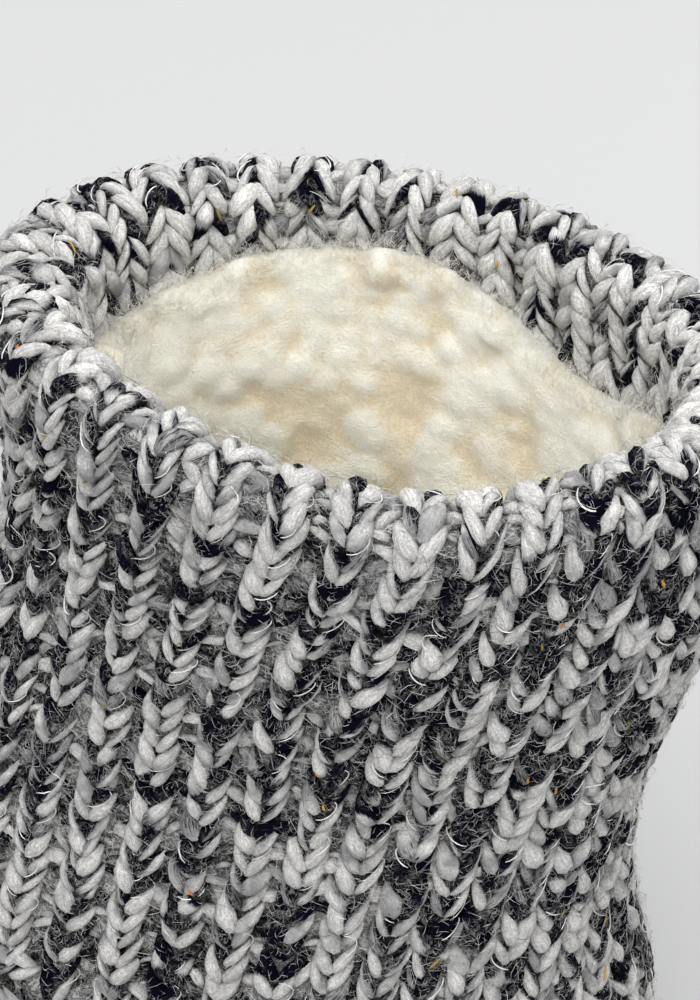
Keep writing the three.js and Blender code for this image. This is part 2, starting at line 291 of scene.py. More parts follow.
def bell(turn, middle, reach):
    """Bell curve round the collar: 1 at its middle, 1/e at its reach."""
    return np.exp(-(((turn % TURN) - middle) / reach) ** 2)


def collar_dip(turn, z):
    """How far the knit hangs down with the collar's dip on the outer side: a bell round the collar, eased out
    down the shaft."""
    return COLLAR_DIP * bell(turn, DIP_TURN, DIP_REACH) * smoothstep(*DIP_BLEND, z)


def wall_point(turn, z, inset):
    """Point at a depth inside the outer surface, raised by the toe spring and lowered by the collar's dip."""
    turn, z, inset = np.broadcast_arrays(turn, z, inset)
    point = outer_point(turn, z) - outer_normal(turn, z) * inset[..., None]
    point[..., 2] += toe_lift(point[..., 0]) - collar_dip(turn, z)
    return point


def fold_radius(turn):
    """Radius of the turned-in edge: fuller at the front."""
    return FOLD_RADIUS + FOLD_FRONT_EXTRA * smoothstep(0.2, 1, np.cos(turn))


def facing_depth(turn):
    """How far the facing reaches down inside: deeper at front and heel, deepest where it sags."""
    sag = FACING_SAG * bell(turn, SAG_TURN, SAG_REACH)
    return FACING_SIDE_DEPTH + (FACING_END_DEPTH - FACING_SIDE_DEPTH) * np.cos(turn) ** 2 + sag


def facing_way(turn):
    """Way over the turned-in edge to the facing's lower end, negative, as a leg patch counts it."""
    return -((math.pi - 1) * fold_radius(turn) + facing_depth(turn) + 1.0)


COLLAR_TURNS = np.linspace(0, TURN, 1441)
COLLAR_ARC = arc_lengths(outer_point(COLLAR_TURNS, np.full(len(COLLAR_TURNS), COLLAR_HEIGHT)))
COLLAR_GIRTH = float(COLLAR_ARC[-1])


def turn_at(arc):
    """Turn at an arc length round the collar."""
    whole = np.floor(arc / COLLAR_GIRTH)
    return np.interp(arc - whole * COLLAR_GIRTH, COLLAR_ARC, COLLAR_TURNS) + whole * TURN


def even_turns(columns):
    """Turns of columns spread evenly round the collar."""
    return turn_at(np.arange(columns) * COLLAR_GIRTH / columns)


SHIFT = np.array([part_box("outsole")[0][0] / MM - LEVELS[0, 1] * LENGTH, MIDDLE_Y, 0.0])


# ---- patches that carry stitches

class Patch:
    """A grid of surface points with normals. A place on it is given by two parameters and a height."""

    def __init__(self, points, u_start, u_step, v_start, v_step, way=-1):
        normals = unit(np.cross(np.gradient(points, axis=0), np.gradient(points, axis=1)))
        self.points, self.normals = points, way * normals
        self.u_start, self.u_step, self.v_start, self.v_step = u_start, u_step, v_start, v_step

    def read(self, grid, u, v):
        """Bilinear reading of a grid of vectors."""
        i = np.clip((u - self.u_start) / self.u_step, 0, grid.shape[0] - 1.001)
        j = np.clip((v - self.v_start) / self.v_step, 0, grid.shape[1] - 1.001)
        i0, j0 = i.astype(int), j.astype(int)
        a, b = (i - i0)[..., None], (j - j0)[..., None]
        low = grid[i0, j0] * (1 - a) + grid[i0 + 1, j0] * a
        high = grid[i0, j0 + 1] * (1 - a) + grid[i0 + 1, j0 + 1] * a
        return low * (1 - b) + high * b

    def at(self, u, v, height):
        """Point at u, v, raised along the normal."""
        return self.read(self.points, u, v) + self.read(self.normals, u, v) * np.asarray(height)[..., None]


@lru_cache
def leg_patch(wales):
    """The leg of the knit: u counts rib columns from the front, v is the way down from the top of the
    outside, negative over the turned-in edge and down the facing."""
    fine, first, last = 0.1, -56, 151.0
    arcs = np.linspace(0, COLLAR_GIRTH, 1441)
    count = running_sum(1 / np.interp(arcs, *WALE_PITCH.T), arcs)
    count *= wales / count[-1]
    u = np.arange(-1, wales + 1.001, fine)
    whole = np.floor(u / wales)
    arc = np.interp(u - whole * wales, count, arcs) + whole * COLLAR_GIRTH
    columns = (u, turn_at(arc))
    arc, v = np.meshgrid(arc, np.arange(first, last), indexing="ij")
    turn = turn_at(arc)
    radius = fold_radius(turn)
    z = np.clip(COLLAR_HEIGHT - radius - np.maximum(v, 0), SOLE_TOP, COLLAR_HEIGHT)
    turn = turn_at(arc + np.where(v > 0, hermite(*WALE_DRIFT.T, z), 0))
    straight = front_at(np.array(SHAFT_FOOT)) + 0.1 * (SHAFT_FOOT - z)
    front = np.where(z > SHAFT_FOOT, front_at(z), straight)
    outside = outer_point(turn, z, front)
    outside[..., 2] += toe_lift(outside[..., 0]) - collar_dip(turn, z)
    over = np.clip(-v / radius, 0, math.pi)
    down = np.maximum(-v - math.pi * radius, 0)
    folded = outside + level_normal(turn, z) * (radius * (np.cos(over) - 1))[..., None]
    folded[..., 2] += radius * np.sin(over) - down
    patch = Patch(np.where((v > 0)[..., None], outside, folded), -1, fine, first, 1)
    patch.columns = columns
    return patch


def foot_patch(half_columns):
    """The foot of the knit: u counts columns from the top of the foot, positive on the outer side, and v runs
    towards the toe. Behind the instep the columns keep their distance from the sole, in front of it from the
    top of the foot. Also returns which places lie inside, and how far v runs."""
    reach, fine = 15, 0.125
    x = np.r_[np.arange(20, FOOT_START, 2.0), np.linspace(FOOT_START, 225, 60), np.linspace(226, 257.6, 40)]
    behind = x < FOOT_START
    top = np.where(behind, gusset_height(x) + 8, roof_at(x) - 0.02)
    lower = np.linspace(SOLE_TOP, TIP_Z, 200)
    bottom = np.where(x < front_at(np.array(SEAT_Z)), SEAT_Z, np.interp(x, front_at(lower), lower))
    q = np.linspace(0, 1, 160)
    z = top[:, None] - (top - bottom)[:, None] * q ** 2
    half = half_width(np.broadcast_to(x[:, None], z.shape), z)
    arc = np.hypot(np.diff(half, axis=1), np.diff(z, axis=1))
    arc = np.concatenate([np.zeros((len(x), 1)), np.cumsum(arc, axis=1)], axis=1)
    arc += np.where(behind, 0, half[:, 0])[:, None]
    whole = arc[int(np.searchsorted(x, FOOT_START)), -1]
    columns = np.arange(-reach, reach + 0.001, fine)
    rows = []
    for k in range(len(x)):
        way = np.abs(columns) * (whole / half_columns)
        if behind[k]:
            way = arc[k, -1] - (whole - way)
        share = np.interp(way, arc[k], q)
        zz = top[k] - (top[k] - bottom[k]) * share ** 2
        xx = np.full(len(columns), x[k])
        yy = centre_at(xx, zz) + np.sign(columns) * half_width(xx, zz)
        inside = (way < arc[k, -1] - 0.8) & ((way > 0.5) | ~behind[k])
        rows.append(np.stack([xx, yy, zz + toe_lift(xx), inside], -1))
    grid = np.stack(rows, 1)
    slope = np.abs(np.gradient(top, x))
    slope[behind] = 0
    run = running_sum((1 + slope ** 2) ** (0.25 + 0.2 * smoothstep(220, 250, x)), x)
    place = np.interp(np.arange(0, run[-1], 1.0), run, np.arange(len(x)))
    k = np.minimum(place.astype(int), len(x) - 2)
    share = (place - k)[None, :, None]
    grid = grid[:, k] * (1 - share) + grid[:, k + 1] * share
    return Patch(grid[..., :3], -reach, fine, 0, 1), grid[..., 3:], float(run[-1])


def edge_patch(height):
    """A band round the foot at a height: u counts columns upwards from its middle, v runs round it. Also
    returns its girth."""
    width, lowest = 9.2, 8.1
    turn = np.linspace(0, TURN, 1201)
    run = arc_lengths(wall_point(turn, height, 0.0))
    even = np.interp(np.arange(0, run[-1] + 1.0), run, turn)
    turns, heights = np.meshgrid(even, height + width * np.linspace(-0.6, 0.6, 13))
    points = wall_point(turns, np.maximum(heights, lowest), 0.0)
    points[..., 2] += np.minimum(heights - lowest, 0)
    return Patch(points, -0.6, 0.1, 0, 1), float(run[-1])


# ---- meshes

def build_piece(name, points, faces, material, slot, node, uv=None, values=None):
    """Puts points on the last, in millimetres, into a mesh in the row frame. faces is a list of index arrays,
    one array for each number of corners."""
    mesh = bpy.data.meshes.new(name)
    points = np.asarray(points, float).reshape(-1, 3)
    mesh.vertices.add(len(points))
    mesh.vertices.foreach_set("co", ((points + SHIFT) * MM).ravel())
    corners = np.concatenate([np.asarray(f).ravel() for f in faces]).astype(np.int32)
    sizes = np.concatenate([np.full(len(f), f.shape[1]) for f in faces]).astype(np.int32)
    mesh.loops.add(len(corners))
    mesh.loops.foreach_set("vertex_index", corners)
    mesh.polygons.add(len(sizes))
    mesh.polygons.foreach_set("loop_start", (np.cumsum(sizes) - sizes).astype(np.int32))
    mesh.polygons.foreach_set("use_smooth", np.ones(len(sizes), bool))
    if uv is not None:
        layer = mesh.uv_layers.new(name="Yarn")
        layer.data.foreach_set("uv", np.asarray(uv, float).reshape(-1, 2)[corners].ravel())
    for key, value in (values or {}).items():
        layer = mesh.attributes.new(key, "FLOAT", "POINT")
        layer.data.foreach_set("value", np.asarray(value, float).ravel())
    mesh.update()
    if mesh.validate():
        raise RuntimeError(name + " has bad faces")
    mesh.materials.append(material)
    piece = bpy.data.objects.new(name, mesh)
    bpy.context.scene.collection.objects.link(piece)
    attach(piece, "root")
    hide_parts(node)
    return piece


def knit_piece(name, points, faces, material, uv=None, **values):
    """A piece of the knit, which stands in place of the upper's solid."""
    return build_piece(name, points, faces, material, "knit_wool", "upper", uv, values)


def ring_piece(name, rings, *rest):
    """A closed piece through rings of points, the last joined to the first; the rest as in build_piece."""
    points = np.stack(rings)
    count, columns = points.shape[:2]
    i, k = np.indices((count, columns))
    j, m = (i + 1) % count, (k + 1) % columns
    faces = np.stack([i * columns + k, i * columns + m, j * columns + m, j * columns + k], -1)
    return build_piece(name, points, [faces.reshape(-1, 4)], *rest)


def tube_faces(count, rings, sides):
    """Quads round each of count tubes and a flat face at each end."""
    i, k = np.indices((rings - 1, sides))
    a, b = i * sides + k, i * sides + (k + 1) % sides
    quads = np.stack([a, b, b + sides, a + sides], -1).reshape(-1, 4)
    caps = np.stack([np.arange(sides)[::-1], np.arange(sides) + (rings - 1) * sides])
    start = (np.arange(count) * rings * sides)[:, None, None]
    return [(quads + start).reshape(-1, 4), (caps + start).reshape(-1, sides)]


def column_pitch(patch, u, v):
    """Width of a column of a patch at u, v, in millimetres, shaped to go with tubes."""
    step = patch.at(u + 0.05, v, 0 * v) - patch.at(u - 0.05, v, 0 * v)
    return np.maximum(np.linalg.norm(step, axis=-1) / 0.1, 3.0)[:, None, None]


def tube_piece(name, material, patch, u, v, centre, radius, flat, sides, pitch=None, mirror=1.0, uv=None,
               **values):
    """A piece of the knit made of round tubes about centre lines, given as across, along and height from the
    places u, v of a patch. The round is squeezed in height by flat."""
    along = unit(np.gradient(centre, axis=1))
    aside = unit(np.stack([along[..., 1], -along[..., 0], 0 * along[..., 0]], -1))
    proud = np.cross(aside, along)
    angle = np.arange(sides) * TURN / sides
    wide = (radius[..., None] * np.cos(angle))[..., None] * aside[:, :, None]
    deep = (flat * radius[..., None] * np.sin(angle))[..., None] * proud[:, :, None]
    across, down, height = np.moveaxis(centre[:, :, None] + wide + deep, -1, 0)
    pitch = column_pitch(patch, u, v) if pitch is None else pitch
    points = patch.at(u[:, None, None] + across / pitch, v[:, None, None] - mirror * down, height)
    knit_piece(name, points, tube_faces(*centre.shape[:2], sides), material, uv, **values)


def yarn_uv(rng, count, way, sides, wide):
    """Yarn map of tubes: the way along from a random start, and the way round from the seam and back."""
    shape = (count, len(way), sides)
    along = np.broadcast_to(way[:, None], shape) + rng.uniform(0, 90, count)[:, None, None]
    around = np.broadcast_to(np.abs(np.linspace(-1, 1, sides + 1)[:-1]) * wide, shape)
    return np.stack([along, around], -1)


def yarn_shades(rng, count, dark_share):
    """Two shades for each stitch leg, before and after a change along it: 0 white, 1 blue-black. Steps of the
    golden section keep the dark legs apart, and chance blurs them."""
    golden, grey_share = 0.618034, 0.30
    kind = (np.arange(count) * golden + rng.uniform(0, 0.85, count)) % 1
    spread = rng.random(count)
    shade = np.where(kind < dark_share, 0.88 + 0.12 * spread,
                     np.where(kind < dark_share + grey_share, 0.2 + 0.34 * spread, 0.16 * spread))
    other = np.where(rng.random(count) < 0.6, shade, np.roll(shade, 1))
    return shade, other, rng.uniform(0.2, 0.8, count)


# shape of one leg of a stitch: way along it, across (share of the half width), up (rows), height, thickness
LEG = np.array([
    (0.00, 0.04, -0.78, -1.40, 0.36),
    (0.15, 0.13, -0.58, -0.78, 0.74),
    (0.35, 0.36, -0.26, -0.40, 1.04),
    (0.60, 0.70, 0.14, -0.50, 1.02),
    (0.82, 0.96, 0.52, -1.00, 0.70),
    (1.00, 1.10, 0.86, -1.95, 0.26),
])
# how far chance moves a leg: tilt, aside, length, along, height, thickness
LEG_CHANCE = np.array([0.14, 0.16, 0.07, 0.22, 0.22, 0.2])
ALIKE_SHARE = 0.45  # stitches whose legs have one shade
PLY_SHARE = 0.6  # legs with a dark ply on their inner side
# painted light: the facing's yarn is drawn paler by this much, for the light its shaded place lacks
FACING_PAINTED_LIGHT = 0.14  # how much paler the facing is


def stitch_piece(name, rng, patch, u, v, knit, rings, sides, stretch=1.0, mirror=1.0, dark_share=None):
    """A piece of stitches at u, v of a patch. Each has two legs: fat tubes that start low at the point, bow
    outwards and dive under the stitch above. stretch lengthens a stitch along its column."""
    row, half = knit.row_height / MM, knit.stitch_half / MM
    stretch = np.repeat(np.broadcast_to(stretch, len(u)), 2)[:, None]
    u, v = np.repeat(u, 2), np.repeat(v, 2)
    count = len(u)
    side = np.tile([-1.0, 1.0], count // 2)
    t = np.linspace(0, 1, rings)
    across, up, height, thick = (hermite(LEG[:, 0], LEG[:, k], t)[None] for k in (1, 2, 3, 4))
    tilt, aside, longer, along, higher, size = (LEG_CHANCE * rng.normal(0, 1, (count, 6))).T[..., None]
    shade, other, change = yarn_shades(rng, count, dark_share or knit.dark_share)
    alike = rng.random(count // 2) < ALIKE_SHARE
    for tone in (shade, other):
        tone[1::2] = np.where(alike, tone[::2], tone[1::2])
    sunk = smoothstep(0.5, 0.9, (shade + other) / 2)[:, None]
    centre = np.stack([
        side[:, None] * half * across * (1 + tilt) + aside,
        row * (up * stretch * (1 + longer)) + along,
        height + higher - 0.12 * sunk,
    ], -1)
    size = np.clip(1 + size, 0.62, 1.4) * (1 - 0.08 * sunk)
    radius = knit.yarn_radius / MM * thick * size * (1 + 0.04 * rng.normal(0, 1, (count, rings)))
    mix = smoothstep(-0.12, 0.12, t[None] - change[:, None])
    dark = shade[:, None] * (1 - mix) + other[:, None] * mix
    inner = math.pi * (side + 1) / 2 + rng.normal(0, 0.5, count)
    ply = np.where(rng.random(count) < PLY_SHARE, rng.uniform(0.35, 0.9, count), 0.0)
    angle = np.arange(sides) * TURN / sides
    facing = np.cos(angle - inner[:, None, None] - 0.7 * (t[:, None] - 0.5))
    dark = dark[..., None] + ply[:, None, None] * smoothstep(0.0, 0.7, facing)
    # painted light: on the facing the dark value is lowered below 0, so the yarn is drawn paler than it is
    dark = dark - FACING_PAINTED_LIGHT * smoothstep(-5, -9, v)[:, None, None]
    tube_piece(name, yarn_material(knit), patch, u, v, centre, radius, 0.92, sides, mirror=mirror,
               uv=yarn_uv(rng, count, t * 6.0, sides, 4.0), dark=dark)


# ---- materials

class Nodes:
    """Short hand for a material's node tree."""

    def __init__(self, name):
        self.material = bpy.data.materials.new(name)
        self.material.use_nodes = True
        self.tree = self.material.node_tree
        self.shader = self.tree.nodes["Principled BSDF"]

    def add(self, kind, links=None, **fields):
        """A node of a kind with fields set and inputs linked or filled by name or number."""
        node = self.tree.nodes.new(kind)
        for key, value in fields.items():
            setattr(node, key, value)
        for key, value in (links or {}).items():
            self.fill(node.inputs[key], value)
        return node

    def fill(self, socket, value):
        """Links an output to a socket, or sets its value."""
        if isinstance(value, bpy.types.NodeSocket):
            self.tree.links.new(value, socket)
        else:
            socket.default_value = (*value, 1.0) if socket.type == "RGBA" else value

    def place(self):
        """Object coordinates."""
        return self.add("ShaderNodeTexCoord").outputs["Object"]

    def attribute(self, name):
        """An attribute of the piece's points."""
        return self.add("ShaderNodeAttribute", attribute_name=name, attribute_type="GEOMETRY").outputs["Fac"]

    def math(self, kind, a, b=0.0, c=0.0):
        """Result of a Math node."""
        return self.add("ShaderNodeMath", {0: a, 1: b, 2: c}, operation=kind).outputs[0]

    def remap(self, value, low, high, out_low=0.0, out_high=1.0):
        """A value carried smoothly from one range to another."""
        links = {"Value": value, "From Min": low, "From Max": high, "To Min": out_low, "To Max": out_high}
        return self.add("ShaderNodeMapRange", links, interpolation_type="SMOOTHSTEP").outputs["Result"]

    def mix(self, share, a, b):
        """Mix of two colours."""
        return self.add("ShaderNodeMix", {0: share, 6: a, 7: b}, data_type="RGBA").outputs[2]

    def noise(self, vector, scale, detail=2.0, rough=0.5, bend=0.0):
        """Value of a Noise texture."""
        links = {"Vector": vector, "Scale": scale, "Detail": detail, "Roughness": rough, "Distortion": bend}
        return self.add("ShaderNodeTexNoise", links).outputs["Fac"]

    def bump(self, height, strength, distance):
        """Normal from a height, distance in metres."""
        links = {"Height": height, "Strength": strength, "Distance": distance}
        return self.add("ShaderNodeBump", links).outputs["Normal"]

    def finish(self, color, roughness, normal=None, **sockets):
        """Fills the shader."""
        self.fill(self.shader.inputs["Base Color"], color)
        self.fill(self.shader.inputs["Roughness"], roughness)
        if normal is not None:
            self.fill(self.shader.inputs["Normal"], normal)
        for key, value in sockets.items():
            self.shader.inputs[key.replace("_", " ")].default_value = value
        return self.material


def tint(color, share):
    """A colour made darker or lighter."""
    return [share * c for c in color]


def hair_lines(n, place, scale, levels, width):
    """Thin curled lines: the level lines of a bent noise, each of a width in parts of a level."""
    field = n.noise(place, scale, 1.0, 0.5, 1.6)
    wave = n.math("FRACT", n.math("MULTIPLY", field, levels))
    return n.remap(n.math("ABSOLUTE", n.math("SUBTRACT", wave, 0.5)), 0.3 * width, width, 1.0, 0.0)


def two_hair_lines(n, place, first, second):
    """Coarse and fine hair lines together, each given by scale, levels and width."""
    return n.math("MAXIMUM", hair_lines(n, place, *first), hair_lines(n, place, *second))


def yarn_material(knit):
    """Marled wool, made once: white and blue-black fibres laid along the yarn with a slight twist, their
    share given by the piece's dark attribute, with grey heather and grey streaks between the fibres, the
    streaks a painted shade, and fine hairs across. Where dark falls below 0, on the facing, the yarn is
    painted brighter than its own colour: painted light."""
    if "marled_wool" in bpy.data.materials:
        return bpy.data.materials["marled_wool"]
    n = Nodes("marled_wool")
    uv = n.add("ShaderNodeUVMap", uv_map="Yarn").outputs["UV"]
    twist = {"Vector": uv, "Scale": (0.6, 3.0, 1.0), "Rotation": (0, 0, 0.14)}
    fibres = n.noise(n.add("ShaderNodeMapping", twist).outputs[0], 1.0, 5.0, 0.72, 0.8)
    place = n.place()
    cloud = n.noise(place, 320.0, 2.0, 0.5)
    felt = n.noise(place, 2600.0, 3.0, 0.75, 1.2)
    dark = n.attribute("dark")
    black = n.remap(n.math("ADD", dark, n.math("MULTIPLY_ADD", fibres, 1.3, -0.65)), 0.42, 0.68)
    grey = n.remap(n.math("ADD", dark, n.math("MULTIPLY_ADD", cloud, 1.2, -0.62)), 0.04, 0.6)
    # painted light: where dark falls below 0, on the facing, the light yarn is drawn brighter than its own
    # colour
    facing_painted_light = n.remap(dark, -0.16, 0.0, 1.0, 0.0)
    light = n.mix(facing_painted_light, knit.light_yarn, tint(knit.light_yarn, 1.22))
    light = n.mix(grey, light, knit.grey_yarn)
    # painted shade: grey streaks where fibres and felt run low, standing for the shadows between the fibres
    light = n.mix(n.remap(n.math("ADD", fibres, felt), 0.82, 1.14, 0.72, 0.0), light, knit.grey_yarn)
    color = n.mix(black, light, knit.dark_yarn)
    frizz = two_hair_lines(n, place, (330.0, 5.0, 0.13), (560.0, 4.0, 0.15))
    frizz = n.math("MULTIPLY", frizz, n.remap(n.noise(place, 210.0, 2.0, 0.5), 0.38, 0.62, 0.0, 0.75))
    color = n.mix(n.math("MULTIPLY", frizz, 0.5), color, tint(knit.light_yarn, 0.6))
    height = n.math("ADD", n.math("MULTIPLY_ADD", frizz, 0.5, fibres), n.math("MULTIPLY", felt, 0.6))
    return n.finish(color, 0.95, n.bump(height, 0.75, 0.00045), Specular_IOR_Level=0.02)


def ground_material(knit):
    """The felted ground between the columns: dark grey heather with a frizz of pale hairs."""
    n = Nodes("felted_ground")
    place = n.place()
    frizz = two_hair_lines(n, place, (380.0, 5.0, 0.22), (620.0, 5.0, 0.22))
    cloud = n.noise(place, 150.0, 4.0, 0.65, 0.6)
    felt = n.noise(place, 2600.0, 3.0, 0.75, 1.2)
    base = n.mix(n.remap(cloud, 0.43, 0.6), tint(knit.grey_yarn, 0.03), knit.grey_yarn)
    pale = n.math("MULTIPLY", frizz, n.remap(cloud, 0.4, 0.6, 0.18, 0.85))
    color = n.mix(pale, base, knit.light_yarn)
    normal = n.bump(n.math("ADD", frizz, felt), 0.8, 0.0005)
    return n.finish(color, 0.95, normal, Specular_IOR_Level=0.02)


def plain_wool(name, color, rough=0.8, **sockets):
    """A thin strand: one colour with slight shading along it."""
    n = Nodes(name)
    cloud = n.noise(n.place(), 900.0, 1.0, 0.5)
    shaded = n.mix(n.remap(cloud, 0.35, 0.65), color, tint(color, 0.72))
    return n.finish(shaded, rough, None, **sockets)


def fleck_material():
    """Small dyed flecks, from olive over mustard to orange by the piece's dye attribute."""
    n = Nodes("dyed_fleck")
    dye = n.attribute("dye")
    color = n.mix(n.remap(dye, 0.2, 0.7), (0.20, 0.17, 0.05), (0.46, 0.29, 0.06))
    color = n.mix(n.remap(dye, 0.88, 0.95), color, (0.55, 0.17, 0.03))
    return n.finish(color, 0.9, None, Specular_IOR_Level=0.1)


def hair_material(knit):
    """Loose hairs: pale or dark by the piece's dark attribute."""
    n = Nodes("loose_hair")
    color = n.mix(n.attribute("dark"), knit.light_yarn, knit.dark_yarn)
    return n.finish(color, 0.7, None, Sheen_Weight=0.1, Specular_IOR_Level=0.2)


def fleece_material(fleece):
    """Cream fleece: pale tufts over tan valleys, by the piece's tuft attribute and broad clumps, with a
    cottony bump and fine strands. The tan of the valleys and creases is partly the fleece's own tan and
    partly painted shade, for the shade that falls between the tufts."""
    n = Nodes("sherpa_fleece")
    place = n.place()
    clumps = n.noise(place, 75.0, 3.0, 0.55, 0.8)
    cotton = n.noise(place, 620.0, 6.0, 0.75, 1.6)
    high = n.math("MULTIPLY_ADD", clumps, 1.1, -0.25)
    high = n.math("MULTIPLY_ADD", n.attribute("tuft"), 0.75, n.math("SUBTRACT", high, 0.12))
    high = n.math("MULTIPLY_ADD", cotton, 0.9, n.math("SUBTRACT", high, 0.45))
    # partly painted shade: sunken places and creases are drawn tan, partly the fleece's own tan
    color = n.mix(n.remap(high, 0.1, 0.72), fleece.valley_tan_and_shade, fleece.tuft)
    strands = two_hair_lines(n, place, (420.0, 4.0, 0.24), (640.0, 4.0, 0.24))
    color = n.mix(n.math("MULTIPLY", strands, 0.3), color, fleece.tuft)
    color = n.mix(n.remap(n.math("ADD", strands, cotton), 0.4, 1.1, 0.2, 0.0), color, fleece.valley_tan_and_shade)
    normal = n.bump(n.math("MULTIPLY_ADD", strands, 0.3, cotton), 0.7, 0.0009)
    return n.finish(color, 0.95, normal, Sheen_Weight=0.4, Sheen_Roughness=0.5, Specular_IOR_Level=0.03,
                    Subsurface_Weight=0.5, Subsurface_Scale=0.003, Subsurface_Radius=(1.0, 0.9, 0.75))


def rubber_material(sole):
    """Soft matt rubber with a fine moulded grain."""
    n = Nodes("soft_rubber_sole")
    place = n.place()
    grain = n.noise(place, 1500.0, 3.0, 0.6)
    cloud = n.noise(place, 40.0, 3.0, 0.5)
    color = n.mix(n.remap(cloud, 0.3, 0.7), sole.colour, tint(sole.colour, 1.35))
    rough = n.remap(grain, 0.3, 0.7, 0.62, 0.8)
    return n.finish(color, rough, n.bump(grain, 0.3, 0.0003), Specular_IOR_Level=0.35)


# ---- settings

IN_METRES = {"unit": "LENGTH", "subtype": "DISTANCE", "precision": 5}
AS_COLOUR = {"subtype": "COLOR", "size": 3}


class BootieKnit(bpy.types.PropertyGroup):
    """The rib knit."""

    wales: IntProperty(name="Rib columns", description="Columns round the collar", default=36, min=16, max=64)
    wale_width: FloatProperty(name="Column width", description="Usual width of a rib column with its groove",
                              default=0.0092, **IN_METRES)
    row_height: FloatProperty(name="Row height", description="Height of one row of stitches", default=0.0037,
                              **IN_METRES)
    stitch_half: FloatProperty(name="Stitch half width", description="From a column's middle to a leg's top",
                               default=0.00265, **IN_METRES)
    yarn_radius: FloatProperty(name="Yarn radius", description="Half the thickness of the roving yarn",
                               default=0.00112, **IN_METRES)
    dark_share: FloatProperty(name="Dark share", description="Share of stitch legs in the dark yarn",
                              default=0.24, min=0, max=1, subtype="FACTOR")
    light_yarn: FloatVectorProperty(name="Light yarn", description="Off-white of the marl",
                                    default=(0.765, 0.75, 0.722), **AS_COLOUR)
    grey_yarn: FloatVectorProperty(name="Grey heather", description="Grey of the marl",
                                   default=(0.27, 0.27, 0.275), **AS_COLOUR)
    dark_yarn: FloatVectorProperty(name="Dark yarn", description="Blue-black of the marl",
                                   default=(0.003, 0.003, 0.008), **AS_COLOUR)
    hairs: IntProperty(name="Loose hairs", description="Hairs standing off the knit", default=33000, min=0,
                       max=40000)
    seed: IntProperty(name="Seed", description="Seed of the knit's irregularity", default=7)


class BootieFleece(bpy.types.PropertyGroup):
    """The fleece lining and the insole."""

    tuft_size: FloatProperty(name="Tuft size", description="Usual radius of a tuft", default=0.0023,
                             **IN_METRES)
    tuft: FloatVectorProperty(name="Tuft", description="Cream of the tufts", default=(0.955, 0.932, 0.828),
                              **AS_COLOUR)
    # tan of the valleys: partly the fleece's own colour, partly painted shade between the tufts
    valley_tan_and_shade: FloatVectorProperty(name="Valley", description="Tan between the tufts",
                                default=(0.80, 0.68, 0.475), **AS_COLOUR)
    hairs: IntProperty(name="Fleece hairs", description="Hairs standing off the fleece", default=10000, min=0,
                       max=24000)
    seed: IntProperty(name="Seed", description="Seed of the fleece", default=11)


class BootieSole(bpy.types.PropertyGroup):
    """The sole."""

    colour: FloatVectorProperty(name="Sole colour", description="Charcoal of the rubber",
                                default=(0.045, 0.045, 0.048), **AS_COLOUR)
    tread_pitch: FloatProperty(name="Tread pitch", description="Distance between grooves under the sole",
                               default=0.009, **IN_METRES)


class BootieStage(bpy.types.PropertyGroup):
    """Camera, floor and light."""

    azimuth: FloatProperty(name="Azimuth", description="Camera's turn round the bootie; 0 looks along +Y",
                           default=math.radians(208), subtype="ANGLE")
    elevation: FloatProperty(name="Elevation", description="Camera's height above the horizon",
                             default=math.radians(36), subtype="ANGLE")
    distance: FloatProperty(name="Distance", description="From the camera to the collar", default=0.7,
                            **IN_METRES)
    floor: FloatVectorProperty(name="Floor", description="Pale grey of the floor", default=(0.54, 0.54, 0.54),
                               **AS_COLOUR)


# ---- operators

KNIT_DEPTH = 145.0  # how far down the leg's rows can run
# heights at which the stitches of leg and foot and the loose hairs end, above the row along the sole
LEG_LOWEST, FOOT_LOWEST, HAIR_LOWEST = 15.5, 15.0, 13.0
# past this distance from the heel the leg's stitches end at this height
LEG_FRONT, LEG_FRONT_FOOT = 121.0, 97.0


def knit_start(context, step):
    """The knit's settings, the random numbers of one of its steps, and the leg."""
    knit = context.scene.bootie_knit
    return knit, np.random.default_rng(knit.seed + step), leg_patch(knit.wales)


def places(columns, rows):
    """All places u, v of some columns and rows, row by row."""
    v, u = np.meshgrid(rows, columns, indexing="ij")
    return u.ravel(), v.ravel()


def shaft_stitches(knit, patch, first_row, last_row=None):
    """Places u, v and points of the stitches of the leg between two rows, those past the gusset or the sole
    left out."""
    row = knit.row_height / MM
    rows = np.arange(first_row, int(KNIT_DEPTH / row) if last_row is None else last_row) + 0.5
    u, v = places(np.arange(knit.wales) + 0.5, rows * row)
    place = patch.at(u, v, 0 * u)
    x, z = place[:, 0], place[:, 2]
    keep = (z > gusset_height(x) - 0.8) & (z > LEG_LOWEST) & (z < COLLAR_HEIGHT)
    keep = (v <= 0) | keep & ((x < LEG_FRONT) | (z > LEG_FRONT_FOOT))
    return u[keep], v[keep], place[keep]


